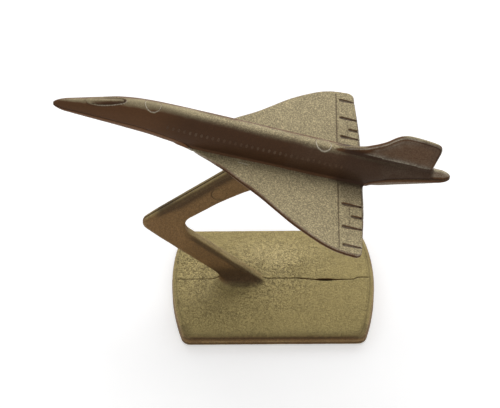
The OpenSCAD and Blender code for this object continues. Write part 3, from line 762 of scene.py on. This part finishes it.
def engine_box(side):
    """An engine box with two intakes and two nozzles, under one wing."""
    centre = ENGINE_CENTRE * side
    outline = outline_table([(9, -WING_THICKNESS), (9.6, -5), (13, -9.2), (43.5, -8.7),
                             (45.3, -WING_THICKNESS)])

    def solid(x, y, z):
        body = slab(outline(x, z), y - centre, ENGINE_HALF, 0.7)
        body = np.maximum(body, z + WING_THICKNESS)
        for place in (-PAIR_OFFSET, PAIR_OFFSET):
            off = y - centre - place
            mouth = slab(np.maximum(np.abs(off) - 2.6, np.abs(z - INTAKE_Z) - 2.2), x - 11.5, 5.5, 0.5)
            body = soft_cut(body, np.maximum(mouth, -1.5 * (x - 9) - 8), 0.4)
            out, deep = np.hypot(off, z - NOZZLE_Z), x - NOZZLE_FLOOR
            nozzle = np.maximum(out - 2.45 - 0.06 * deep, -deep)
            cone = np.maximum(out - 0.9 + 0.35 * deep, 41.2 - x)
            body = soft_join(soft_cut(body, nozzle, 0.35), np.maximum(cone, x - 44.2), 0.3)
        return body

    return solid


# Finishes


def feed(tree, target, inputs):
    """Sets the inputs of a node, or links those whose value comes out of another node."""
    for key, value in inputs.items():
        if isinstance(value, bpy.types.NodeSocket):
            tree.links.new(value, target.inputs[key])
        else:
            target.inputs[key].default_value = value


def node(tree, kind, inputs=None, **settings):
    """A new node with its settings and inputs."""
    made = tree.nodes.new(kind)
    for key, value in settings.items():
        setattr(made, key, value)
    feed(tree, made, inputs or {})
    return made


def calc(tree, operation, a, b=0.0, c=0.0):
    """The result of one step of arithmetic."""
    return node(tree, "ShaderNodeMath", {0: a, 1: b, 2: c}, operation=operation).outputs[0]


def times(tree, a, b):
    """The product of two values."""
    return calc(tree, "MULTIPLY", a, b)


def span(tree, value, low, high, to_low=0.0, to_high=1.0):
    """A value moved smoothly from one range to another."""
    return node(tree, "ShaderNodeMapRange", {
        "Value": value, "From Min": low, "From Max": high, "To Min": to_low, "To Max": to_high},
        interpolation_type="SMOOTHSTEP").outputs["Result"]


def blend(tree, share, a, b, how="MIX"):
    """Two colours in one."""
    return node(tree, "ShaderNodeMix", {0: share, 6: a, 7: b}, data_type="RGBA", blend_type=how).outputs[2]


def tinted(tree, color, shade):
    """A colour made lighter or darker by a value."""
    grey = node(tree, "ShaderNodeCombineXYZ", {i: shade for i in range(3)}).outputs[0]
    return blend(tree, 1.0, color, grey, "MULTIPLY")


def noise(tree, vector, scale, detail=3.0, roughness=0.55, distortion=0.0):
    """Random soft patches, from about 0 to 1."""
    return node(tree, "ShaderNodeTexNoise", {"Vector": vector, "Scale": scale, "Detail": detail,
                                             "Roughness": roughness, "Distortion": distortion}).outputs[0]


def bumped(tree, height, distance, strength):
    """The way the surface faces, tilted by a height."""
    return node(tree, "ShaderNodeBump",
                {"Height": height, "Distance": distance, "Strength": strength}).outputs[0]


def as_seen(tree):
    """1 where the camera sees a surface, also in gloss and through glass, and 0 where it only gives light."""
    rays = node(tree, "ShaderNodeLightPath").outputs
    return calc(tree, "MAXIMUM", calc(tree, "MAXIMUM", rays["Is Camera Ray"], rays["Is Glossy Ray"]),
                rays["Is Transmission Ray"])


def new_group(name, inputs, outputs):
    """An empty shader group with named sockets."""
    tree = bpy.data.node_groups.new(name, "ShaderNodeTree")
    for label, kind, default in inputs:
        socket = tree.interface.new_socket(label, in_out="INPUT", socket_type="NodeSocket" + kind)
        if default is not None:
            socket.default_value = default
    for label, kind in outputs:
        tree.interface.new_socket(label, in_out="OUTPUT", socket_type="NodeSocket" + kind)
    return tree, tree.nodes.new("NodeGroupInput").outputs, tree.nodes.new("NodeGroupOutput").inputs


def sand_cast_group():
    """The skin of a sand casting: grain, wrinkles and pits, as a height and masks."""
    tree, given, put = new_group(
        "sand_cast_skin",
        [("Vector", "Vector", None), ("Grain Scale", "Float", 1500.0), ("Wrinkle Scale", "Float", 420.0),
         ("Wrinkle Amount", "Float", 0.5), ("Pit Amount", "Float", 0.5)],
        [("Height", "Float"), ("Grain", "Float"), ("Wrinkles", "Float"), ("Patches", "Float")])
    where = given["Vector"]
    grain = noise(tree, where, given["Grain Scale"], 2, 0.6)
    fold = noise(tree, where, given["Wrinkle Scale"], 2.5, 0.55, 0.9)
    line = span(tree, calc(tree, "ABSOLUTE", calc(tree, "SUBTRACT", fold, 0.5)), 0.0, 0.06, 1, 0)
    patches = noise(tree, where, 45, 3, 0.6)
    breaks = noise(tree, where, given["Wrinkle Scale"], 1)
    line = times(tree, line, span(tree, breaks, 0.3, 0.42))
    cell_scale = times(tree, given["Wrinkle Scale"], 1.3)
    cells = node(tree, "ShaderNodeTexVoronoi", {"Vector": where, "Scale": cell_scale})
    pits = span(tree, cells.outputs["Distance"], 0.08, 0.3, 1, 0)
    few = span(tree, node(tree, "ShaderNodeSeparateColor", {0: cells.outputs["Color"]}).outputs[0], 0.62, 0.8)
    pits = times(tree, times(tree, pits, few), given["Pit Amount"])
    folds = calc(tree, "MAXIMUM", times(tree, line, given["Wrinkle Amount"]), pits)
    height = calc(tree, "SUBTRACT", times(tree, grain, 0.7), folds)
    for label, socket in (("Height", height), ("Grain", grain), ("Wrinkles", folds), ("Patches", patches)):
        tree.links.new(socket, put[label])
    return tree


def patina_and_light_group():
    """Colour of gilt metal: brown sides and dusty tops, the sides' darkness partly real and partly painted
    shade; lightened edges and patches, partly real wear and partly painted highlight; dark corners, painted
    shade with real dirt and seams.
    """
    tree, given, put = new_group(
        "patina",
        [("Top Color", "Color", None), ("Side Color", "Color", None), ("Rubbed Color", "Color", None),
         ("Corner Color", "Color", None), ("Up", "Float", 0.0), ("Patches", "Float", 0.5),
         ("Grain", "Float", 0.5), ("Rubbed", "Float", 0.0), ("Hollow", "Float", 0.0), ("Grime", "Float", 0.0),
         ("Marks", "Float", 0.0), ("Speckle", "Float", 0.25), ("Side Speckle", "Float", 0.35),
         ("Side Until", "Float", 0.5), ("Top From", "Float", 0.96)],
        [("Color", "Color"), ("Bare", "Float")])
    up = calc(tree, "ADD", given["Up"], times(tree, calc(tree, "SUBTRACT", given["Patches"], 0.5), 0.2))
    # Sides turn darker than tops, partly real browning and partly painted shade
    upward = span(tree, up, given["Side Until"], given["Top From"])
    color = blend(tree, upward, given["Side Color"], given["Top Color"])
    shade = span(tree, given["Patches"], 0.3, 0.7, 0.95, 1.05)
    speck = span(tree, given["Grain"], 0.36, 0.74, -0.6, 1)
    strength = times(tree, given["Speckle"], span(tree, upward, 0.0, 1.0, given["Side Speckle"], 1.0))
    speck = calc(tree, "MULTIPLY_ADD", speck, strength, 1.0)
    color = tinted(tree, color, times(tree, shade, speck))
    # Wrinkles darken as real dirt in the skin; the other two masks darken as painted shade, with real seams
    # among them
    for label, share in (("Marks", 1.3), ("Grime", 0.75), ("Hollow", 0.85)):
        color = blend(tree, times(tree, given[label], share), color, given["Corner Color"])
    # Lightening: real wear, and painted highlights and pools of light
    lightened_share = times(tree, given["Rubbed"], span(tree, given["Patches"], 0.35, 0.6, 0.35, 1))
    lightened_share = times(tree, lightened_share, span(tree, given["Grain"], 0.35, 0.6, 0.5, 1))
    color = blend(tree, lightened_share, color, given["Rubbed Color"])
    tree.links.new(color, put["Color"])
    tree.links.new(lightened_share, put["Bare"])
    return tree


def shared_group(name, build):
    """A shader group, built the first time that it is asked for."""
    return bpy.data.node_groups.get(name) or build()


def new_material(name):
    """A material with its tree and shader, or without them where it was made before."""
    old = bpy.data.materials.get(name)
    if old:
        return old, None, None
    made = bpy.data.materials.new(name)
    made.use_nodes = True
    tree = made.node_tree
    return made, tree, tree.nodes["Principled BSDF"]


def group_in(tree, group, inputs):
    """A shader group placed in a tree, as its outputs."""
    return node(tree, "ShaderNodeGroup", inputs, node_tree=group).outputs


def casting(context, part):
    """The gilt sand casting of the stand or the aircraft, its colour with real age and painted light and shade.
    """
    look, feel = context.scene.casting_finish, CASTINGS[part]
    made, tree, shader = new_material(feel["name"])
    if not tree:
        return made
    where = node(tree, "ShaderNodeTexCoord").outputs
    up = node(tree, "ShaderNodeVectorMath", {0: where["Normal"], 1: feel["up"]},
              operation="DOT_PRODUCT").outputs["Value"]
    worn, hollow, grime, coarse = (node(tree, "ShaderNodeAttribute", attribute_name=label).outputs["Fac"]
                                   for label in ("worn", "hollow", "grime", "coarse"))
    skin = group_in(tree, shared_group("sand_cast_skin", sand_cast_group), {
        "Vector": where["Object"], "Grain Scale": feel["grain_scale"], "Wrinkle Scale": feel["wrinkle_scale"],
        "Wrinkle Amount": coarse, "Pit Amount": times(tree, coarse, feel["pits"])})
    # Top and side colours; the lightened colour serves real wear and painted highlight, the corner colour real
    # dirt and painted shade
    colors = {f"{place.title()} Color": (*getattr(look, f"{part}_{place}"), 1)
              for place in ("top", "side", "rubbed", "corner")}
    coloured = group_in(tree, shared_group("patina", patina_and_light_group), {
        **colors, "Up": up, "Patches": skin["Patches"], "Grain": skin["Grain"], "Rubbed": worn,
        "Hollow": hollow, "Grime": grime, "Marks": skin["Wrinkles"],
        "Speckle": times(tree, coarse, feel["speckle"]), "Side Speckle": feel["side_speckle"],
        "Side Until": feel["side_until"], "Top From": feel["top_from"]})
    dull = calc(tree, "ADD", times(tree, skin["Wrinkles"], 0.2), times(tree, skin["Grain"], 0.24))
    dull = calc(tree, "ADD", dull, look.roughness - 0.12)
    feed(tree, shader, {
        "Base Color": coloured["Color"], "Metallic": feel["metallic"], "Specular IOR Level": 0.12,
        "Roughness": calc(tree, "SUBTRACT", dull, times(tree, coloured["Bare"], 0.18)),
        "Normal": bumped(tree, skin["Height"], feel["depth"], 0.8)})
    return made


def turned_metal(context, metal):
    """Plain turned or rolled metal with fine tool lines and a little tarnish."""
    name, tarnished, roughness = METALS[metal]
    made, tree, shader = new_material(name)
    if not tree:
        return made
    where = node(tree, "ShaderNodeTexCoord").outputs["Object"]
    stretched = node(tree, "ShaderNodeMapping", {"Vector": where, "Scale": (1.0, 1.0, 12.0)}).outputs[0]
    lines = noise(tree, stretched, 900, 2, 0.6)
    tarnish = span(tree, noise(tree, where, 180, 4, 0.6), 0.42, 0.68)
    clean = (*getattr(context.scene.casting_finish, metal), 1)
    rough = calc(tree, "ADD", times(tree, tarnish, 0.25), roughness)
    feed(tree, shader, {
        "Base Color": blend(tree, times(tree, tarnish, 0.65), clean, (*tarnished, 1)), "Metallic": 1.0,
        "Roughness": calc(tree, "ADD", rough, times(tree, lines, 0.1)),
        "Normal": bumped(tree, lines, 0.00002, 0.5)})
    return made


def baize_cloth(context):
    """Short matted baize."""
    made, tree, shader = new_material("green_baize")
    if not tree:
        return made
    where = node(tree, "ShaderNodeTexCoord").outputs["Object"]
    nap = noise(tree, where, 2600, 4, 0.7, 0.6)
    patches = noise(tree, where, 90, 3, 0.6)
    shade = times(tree, span(tree, nap, 0.25, 0.75, 0.55, 1.4), span(tree, patches, 0.3, 0.7, 0.8, 1.15))
    feed(tree, shader, {
        "Base Color": tinted(tree, (*context.scene.casting_finish.baize, 1), shade), "Roughness": 0.95,
        "Sheen Weight": 0.4, "Normal": bumped(tree, nap, 0.00015, 1.0)})
    return made


# Repeated details, made by Geometry Nodes


def detail_tree(name, sizes):
    """An empty Geometry Nodes tree with named inputs for its sizes."""
    tree = bpy.data.node_groups.new(name, "GeometryNodeTree")
    tree.interface.new_socket("Geometry", in_out="INPUT", socket_type="NodeSocketGeometry")
    for label, default in sizes.items():
        socket = tree.interface.new_socket(label, in_out="INPUT", socket_type="NodeSocketFloat")
        socket.default_value = default
    tree.interface.new_socket("Material", in_out="INPUT", socket_type="NodeSocketMaterial")
    tree.interface.new_socket("Geometry", in_out="OUTPUT", socket_type="NodeSocketGeometry")
    return tree, tree.nodes.new("NodeGroupInput").outputs, tree.nodes.new("NodeGroupOutput").inputs


def finish_detail(tree, shape, material, put):
    """Ends a tree: real faces in place of instances, with the material set."""
    real = node(tree, "GeometryNodeRealizeInstances", {"Geometry": shape}).outputs[0]
    done = node(tree, "GeometryNodeSetMaterial", {"Geometry": real, "Material": material}).outputs[0]
    tree.links.new(done, put["Geometry"])


def run_detail(obj, tree, values, material):
    """Puts the tree on the object with its inputs set, and turns the result into a plain mesh."""
    modifier = obj.modifiers.new(tree.name, "NODES")
    modifier.node_group = tree
    for item in tree.interface.items_tree:
        if item.item_type == "SOCKET" and item.in_out == "INPUT" and item.name in values:
            modifier[item.identifier] = values[item.name]
        elif item.item_type == "SOCKET" and item.in_out == "INPUT" and item.name == "Material":
            modifier[item.identifier] = material
    return make_plain(obj)


def window_tree():
    """A row of window frames along a path that carries its own outward direction."""
    tree, given, put = detail_tree("window_row", {
        "Pitch": 0.0024, "Width": 0.0009, "Height": 0.0013, "Proud": 0.00012})
    path = node(tree, "GeometryNodeMeshToCurve", {"Mesh": given["Geometry"]}).outputs[0]
    path = node(tree, "GeometryNodeResampleCurve", {"Curve": path, "Length": given["Pitch"]}, mode="LENGTH")
    out = node(tree, "GeometryNodeInputNamedAttribute", {"Name": "outward"},
               data_type="FLOAT_VECTOR").outputs[0]
    along = node(tree, "GeometryNodeInputTangent").outputs[0]
    turn = node(tree, "FunctionNodeAxesToRotation", {"Primary Axis": out, "Secondary Axis": along},
                primary_axis="Z", secondary_axis="X").outputs[0]
    disc = node(tree, "GeometryNodeMeshCylinder", {
        "Vertices": 12, "Side Segments": 1, "Radius": 0.5, "Depth": 1.0}).outputs[0]
    size = node(tree, "ShaderNodeCombineXYZ",
                {0: given["Width"], 1: given["Height"], 2: given["Proud"]}).outputs[0]
    rows = node(tree, "GeometryNodeInstanceOnPoints", {
        "Points": path.outputs[0], "Instance": disc, "Rotation": turn, "Scale": size}).outputs[0]
    rows = node(tree, "GeometryNodeRealizeInstances", {"Geometry": rows}).outputs[0]
    # The windows take the flank's painted shade, so only their relief shows
    for label, value in (("worn", 0.05), ("grime", 0.9), ("coarse", 0.1)):
        rows = node(tree, "GeometryNodeStoreNamedAttribute", {"Geometry": rows, "Name": label, "Value": value},
                    data_type="FLOAT", domain="POINT").outputs[0]
    finish_detail(tree, rows, given["Material"], put)
    return tree


# What a user would change


def number(name, description, default, **limits):
    return bpy.props.FloatProperty(name=name, description=description, default=default, min=0.0, **limits)


def length(name, description, default):
    return number(name, description, default, unit="LENGTH", subtype="DISTANCE", precision=5)


def colour(name, description, default):
    return bpy.props.FloatVectorProperty(name=name, description=description, default=default, size=3,
                                         min=0.0, max=1.0, subtype="COLOR")


class AirframeSizes(bpy.types.PropertyGroup):
    root_fillet: length("Wing root fillet", "How softly the wings meet the fuselage", 0.0026)
    fin_fillet: length("Fin fillet", "How softly the fin meets the back", 0.0014)
    seam_round: length("Seam rounding", "Rounding of both halves' edges along their seam", 0.0006)
    hinge_depth: length("Hinge groove depth", "Depth of the groove ahead of the elevons", 0.0002)
    slot_width: length("Slot width", "Width of the slots between the elevons", 0.0027)
    slot_depth: length("Slot depth", "Depth of the slots between the elevons", 0.0013)
    window_pitch: length("Window pitch", "Distance from one cabin window to the next", 0.0029)
    window_width: length("Window width", "Width of a cabin window", 0.0013)
    window_height: length("Window height", "Height of a cabin window", 0.002)


class StandSizes(bpy.types.PropertyGroup):
    rim_round: length("Rim rounding", "Rounding of the base's top edge", 0.0026)
    arm_round: length("Arm rounding", "Rounding of the arm's edges", 0.002)
    foot_flare: length("Foot flare", "How softly the arm grows out of the base", 0.0075)
    seam_round: length("Seam rounding", "Rounding of both halves' edges along their seam", 0.0005)
    crack_width: length("Crack width", "Width that the base's seam has opened to beside the foot", 0.0012)


class CastingFinish(bpy.types.PropertyGroup):
    # The sides' darker colours are partly real browning and partly painted shade; the lightened colours paint
    # both real wear and highlights; the corner colours both real dirt and painted shade
    stand_top: colour("Stand, upward faces", "Dusty gilt on the stand's upward faces", (0.457, 0.365, 0.15))
    stand_side: colour("Stand, sides", "Browned gilt on the stand's sides", (0.258, 0.148, 0.059))
    stand_rubbed: colour("Stand, rubbed edges", "Bare metal on the stand's rubbed edges", (0.76, 0.62, 0.3))
    stand_corner: colour("Stand, corners", "Dirt in the stand's corners and pits", (0.045, 0.027, 0.014))
    aircraft_top: colour("Aircraft, upward faces", "Gilt on the aircraft's upward faces", (0.437, 0.363, 0.212))
    aircraft_side: colour("Aircraft, sides", "Dark bronze on the aircraft's sides", (0.148, 0.068, 0.027))
    aircraft_rubbed: colour("Aircraft, rubbed edges", "Bare metal on the aircraft's rubbed edges",
                            (0.74, 0.67, 0.52))
    aircraft_corner: colour("Aircraft, corners", "Dirt in the aircraft's corners", (0.036, 0.0175, 0.0095))
    steel: colour("Steel", "Steel screws, plate and dowels", (0.52, 0.51, 0.49))
    brass: colour("Brass", "Brass bush and seat washer", (0.68, 0.52, 0.26))
    baize: colour("Baize", "Baize under the base", (0.05, 0.10, 0.06))
    roughness: number("Roughness", "How dull the castings are", 0.55, max=1.0, subtype="FACTOR")


class StageLight(bpy.types.PropertyGroup):
    key_power: number("Rear light", "Power of the soft light behind and above", 21.5, unit="POWER")
    fill_power: number("Front light", "Power of the weak, low light in front", 4.5, unit="POWER")
    surround: number("Surroundings", "Level of the even light all round", 0.42, max=2.0)
    floor_lift: number("Floor lift", "Whiteness added to the floor as it is seen", 0.45, max=1.0)
    floor: colour("Floor", "Colour of the floor and backdrop", (0.85, 0.85, 0.85))


# Pieces


def dress(names, material):
    """Gives CAD nodes their finish."""
    for name in names:
        for place in frame["nodes"][name].material_slots:
            place.material = material


def declare(piece, body, slot, *nodes):
    """A piece's body and the CAD nodes it stands for, which are hidden. The slot argument is not used."""
    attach(piece, body)
    if nodes:
        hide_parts(*nodes)


class AIRLINER_OT_airframe_halves(bpy.types.Operator):
    """Casts the upper and lower halves of the airframe, with seam, fillets, grooves and cockpit"""
    bl_idname = "airliner.airframe_halves"
    bl_label = "Cast Airframe Halves"

    def execute(self, context):
        shape = AircraftShape(context.scene.airframe_sizes)
        finish = casting(context, "aircraft")

        def near_bush(x, y, z):
            return np.hypot(x - PIVOT_X, y) < 7

        for name, solid, low, high, step, quiet in (("upper", shape.upper, -3, 32.5, 0.42, None),
                                                    ("lower", shape.lower, -6.5, 14, 0.46, near_bush)):
            half = cast_piece(f"{name}_airframe_casting", solid, (-115, -58, low), (91, 58, high), step, finish,
                              place=in_flight, outer=shape.whole, grain=0.05, quiet=quiet, looks=shape.looks)
            declare(half, "airliner", "aircraft_casting", f"{name}_airframe")
        return {"FINISHED"}


class AIRLINER_OT_engine_boxes(bpy.types.Operator):
    """Casts both engine boxes with their intakes and nozzles"""
    bl_idname = "airliner.engine_boxes"
    bl_label = "Cast Engine Boxes"

    def execute(self, context):
        finish = casting(context, "aircraft")
        for name, side in (("left", -1), ("right", 1)):
            middle = ENGINE_CENTRE * side
            box = cast_piece(f"{name}_engine_casting", engine_box(side), (8, middle - 8, -10.2),
                             (46.5, middle + 8, -2), 0.3, finish, place=in_flight, grain=0.03)
            declare(box, "airliner", "aircraft_casting", f"{name}_engine_box")
        return {"FINISHED"}


class AIRLINER_OT_spine_pins(bpy.types.Operator):
    """Sets both domed pin heads into the back"""
    bl_idname = "airliner.spine_pins"
    bl_label = "Set Spine Pins"

    def execute(self, context):
        shape = AircraftShape(context.scene.airframe_sizes)
        for name, place in (("front", FRONT_PIN), ("rear", REAR_PIN)):
            x, low = place[0], place[2] - 0.5
            pin = cast_piece(f"{name}_pin_head", shape.pin(*place), (x - 5, -5, low), (x + 5, 5, 17), 0.25,
                             casting(context, "aircraft"), place=in_flight, grain=0.02, looks=shape.looks)
            declare(pin, "airliner", "aircraft_casting", f"{name}_spine_pin")
        return {"FINISHED"}


class AIRLINER_OT_windows(bpy.types.Operator):
    """Raises a row of cabin windows on both sides of the fuselage"""
    bl_idname = "airliner.windows"
    bl_label = "Raise Cabin Windows"

    def execute(self, context):
        sizes = context.scene.airframe_sizes
        shape = AircraftShape(sizes)
        x = np.arange(*WINDOW_PATH)
        height = shape.middle(x) + WINDOW_RISE
        up = shape.top(x) - shape.middle(x)
        depth = shape.width(x) * np.sqrt(1 - (WINDOW_RISE / up) ** 2)
        points, outward, edges = [], [], []
        for side in (-1, 1):
            row = np.stack([x, side * (depth - WINDOW_SUNK), height], 1)
            normal = np.stack([0 * x, side * depth / shape.width(x) ** 2, WINDOW_RISE / up**2], 1)
            first = len(points) * len(x)
            edges += [(first + i, first + i + 1) for i in range(len(x) - 1)]
            points.append(row)
            outward.append(normal / np.linalg.norm(normal, axis=1)[:, None])
        turn = in_flight(np.zeros((1, 3)))
        mesh = bpy.data.meshes.new("cabin_windows")
        mesh.from_pydata((in_flight(np.vstack(points)) * MM).tolist(), edges, [])
        facing = mesh.attributes.new("outward", "FLOAT_VECTOR", "POINT")
        facing.data.foreach_set("vector", (in_flight(np.vstack(outward)) - turn).astype(np.float32).ravel())
        rows = run_detail(add_object("cabin_windows", mesh, []), window_tree(), {
            "Pitch": sizes.window_pitch, "Width": sizes.window_width, "Height": sizes.window_height,
            "Proud": WINDOW_PROUD * MM}, casting(context, "aircraft"))
        declare(rows, "airliner", "aircraft_casting")
        return {"FINISHED"}


class AIRLINER_OT_pivot_fixings(bpy.types.Operator):
    """Finishes the pivot's bush, screw and washers"""
    bl_idname = "airliner.pivot_fixings"
    bl_label = "Finish Pivot Fixings"

    def execute(self, context):
        dress(("pivot_bush", "seat_washer"), turned_metal(context, "brass"))
        dress(("pivot_screw", "spring_washer"), turned_metal(context, "steel"))
        return {"FINISHED"}


class AIRLINER_OT_stand_halves(bpy.types.Operator):
    """Casts the near and far halves of the stand, with their seam, its open crack and the arm's foot"""
    bl_idname = "airliner.stand_halves"
    bl_label = "Cast Stand Halves"

    def execute(self, context):
        shape = StandShape(context.scene.stand_sizes)
        finish = casting(context, "stand")

        def near_pivot(x, y, z):
            return np.hypot(x - 2, z - 90) < 12

        for name, side in (("near", -1), ("far", 1)):
            low, high = sorted((side * 39.0, side * -2.0))
            half = cast_piece(f"{name}_stand_casting", shape.half(side), (-71, low, 0.4), (55, high, 99), 0.46,
                              finish, outer=shape.whole, grain=0.07, quiet=near_pivot, looks=shape.looks)
            declare(half, "stand", "stand_casting", f"{name}_stand_half")
        return {"FINISHED"}


class AIRLINER_OT_arm_pin(bpy.types.Operator):
    """Sets the round pin through the arm"""
    bl_idname = "airliner.arm_pin"
    bl_label = "Set Arm Pin"

    def execute(self, context):
        shape = StandShape(context.scene.stand_sizes)
        x, z = ARM_PIN
        pin = cast_piece("arm_pin_head", shape.pin, (x - 5, -4, z - 5), (x + 5, 4, z + 5), 0.25,
                         casting(context, "stand"), grain=0.02, looks=shape.looks)
        declare(pin, "stand", "stand_casting", "arm_pin")
        return {"FINISHED"}


class AIRLINER_OT_base_fixings(bpy.types.Operator):
    """Finishes the closing plate, its screws, the dowels and the baize"""
    bl_idname = "airliner.base_fixings"
    bl_label = "Finish Base Fixings"

    def execute(self, context):
        dress(("base_plate", "left_base_dowel", "right_base_dowel", "plate_screw_1", "plate_screw_2",
               "plate_screw_3", "plate_screw_4"), turned_metal(context, "steel"))
        dress(("baize_pad",), baize_cloth(context))
        return {"FINISHED"}


class AIRLINER_OT_stage(bpy.types.Operator):
    """Lays the floor and places the lamps, the surroundings and the camera"""
    bl_idname = "airliner.stage"
    bl_label = "Set Stage"

    def execute(self, context):
        scene, light = context.scene, context.scene.stage_light
        scene.view_settings.view_transform = "Standard"
        world = bpy.data.worlds.new("even_surroundings")
        world.use_nodes = True
        scene.world = world
        tree = world.node_tree
        feed(tree, tree.nodes["Background"], {
            "Strength": span(tree, as_seen(tree), 0.0, 1.0, light.surround, 1.0), "Color": (1, 1, 1, 1)})

        reach = FLOOR_REACH
        floor_mesh = bpy.data.meshes.new("floor")
        floor_mesh.from_pydata([(-reach, -reach, 0), (reach, -reach, 0), (reach, reach, 0), (-reach, reach, 0)],
                               [], [(0, 1, 2, 3)])
        made, tree, shader = new_material("pale_floor")
        grain = noise(tree, node(tree, "ShaderNodeTexCoord").outputs["Object"], 60, 3)
        feed(tree, shader, {
            "Base Color": tinted(tree, (*light.floor, 1), span(tree, grain, 0.3, 0.7, 0.985, 1.0)),
            "Roughness": 1.0, "Specular IOR Level": 0.0, "Emission Color": (1, 1, 1, 1),
            "Emission Strength": times(tree, as_seen(tree), light.floor_lift)})
        floor = add_object("floor", floor_mesh, [made])

        for name, power, size, place in LAMPS:
            lamp = bpy.data.lights.new(name, "AREA")
            lamp.energy, lamp.size = getattr(light, power), size
            obj = bpy.data.objects.new(name, lamp)
            scene.collection.objects.link(obj)
            obj.location = place
            obj.rotation_euler = (Vector(LAMP_TARGET) - Vector(place)).to_track_quat("-Z", "Y").to_euler()

        lens = bpy.data.cameras.new("view")
        lens.sensor_width, lens.lens, lens.clip_start, lens.clip_end = SENSOR_WIDTH, LENS, 0.05, 50.0
        camera = bpy.data.objects.new("view", lens)
        scene.collection.objects.link(camera)
        back = Vector((math.sin(VIEW_TURN) * math.cos(VIEW_LIFT), -math.cos(VIEW_TURN) * math.cos(VIEW_LIFT),
                       math.sin(VIEW_LIFT)))
        right = Vector((math.cos(VIEW_TURN), math.sin(VIEW_TURN), 0))
        up = back.cross(right)
        camera.location = Vector(VIEW_TARGET) - (right + up) * VIEW_SHIFT + back * VIEW_AWAY
        camera.rotation_euler = Matrix((right, up, back)).transposed().to_euler()
        scene.camera = camera
        return {"FINISHED"}


STEPS = (AIRLINER_OT_airframe_halves, AIRLINER_OT_engine_boxes, AIRLINER_OT_spine_pins, AIRLINER_OT_windows,
         AIRLINER_OT_pivot_fixings, AIRLINER_OT_stand_halves, AIRLINER_OT_arm_pin, AIRLINER_OT_base_fixings,
         AIRLINER_OT_stage)
SETTINGS = (("airframe_sizes", AirframeSizes), ("stand_sizes", StandSizes), ("casting_finish", CastingFinish),
            ("stage_light", StageLight))


class AIRLINER_PT_pieces(bpy.types.Panel):
    """Lists the sizes, the colours and the pieces"""
    bl_idname = "AIRLINER_PT_pieces"
    bl_label = "Model Airliner"
    bl_space_type = "VIEW_3D"
    bl_region_type = "UI"
    bl_category = "Airliner"

    def draw(self, context):
        for label, group in SETTINGS:
            box = self.layout.box()
            box.label(text=label.replace("_", " ").capitalize())
            for name in group.__annotations__:
                box.prop(getattr(context.scene, label), name)
        for step in STEPS:
            self.layout.operator(step.bl_idname)


def register():
    for group in (*(made for _, made in SETTINGS), *STEPS, AIRLINER_PT_pieces):
        bpy.utils.register_class(group)
    for label, group in SETTINGS:
        setattr(bpy.types.Scene, label, bpy.props.PointerProperty(type=group))


def unregister():
    for label, _ in SETTINGS:
        delattr(bpy.types.Scene, label)
    for group in (AIRLINER_PT_pieces, *reversed(STEPS), *(made for _, made in reversed(SETTINGS))):
        bpy.utils.unregister_class(group)


def main():
    register()
    for step in STEPS:
        group, name = step.bl_idname.split(".")
        getattr(getattr(bpy.ops, group), name)()


if __name__ == "__main__":
    main()
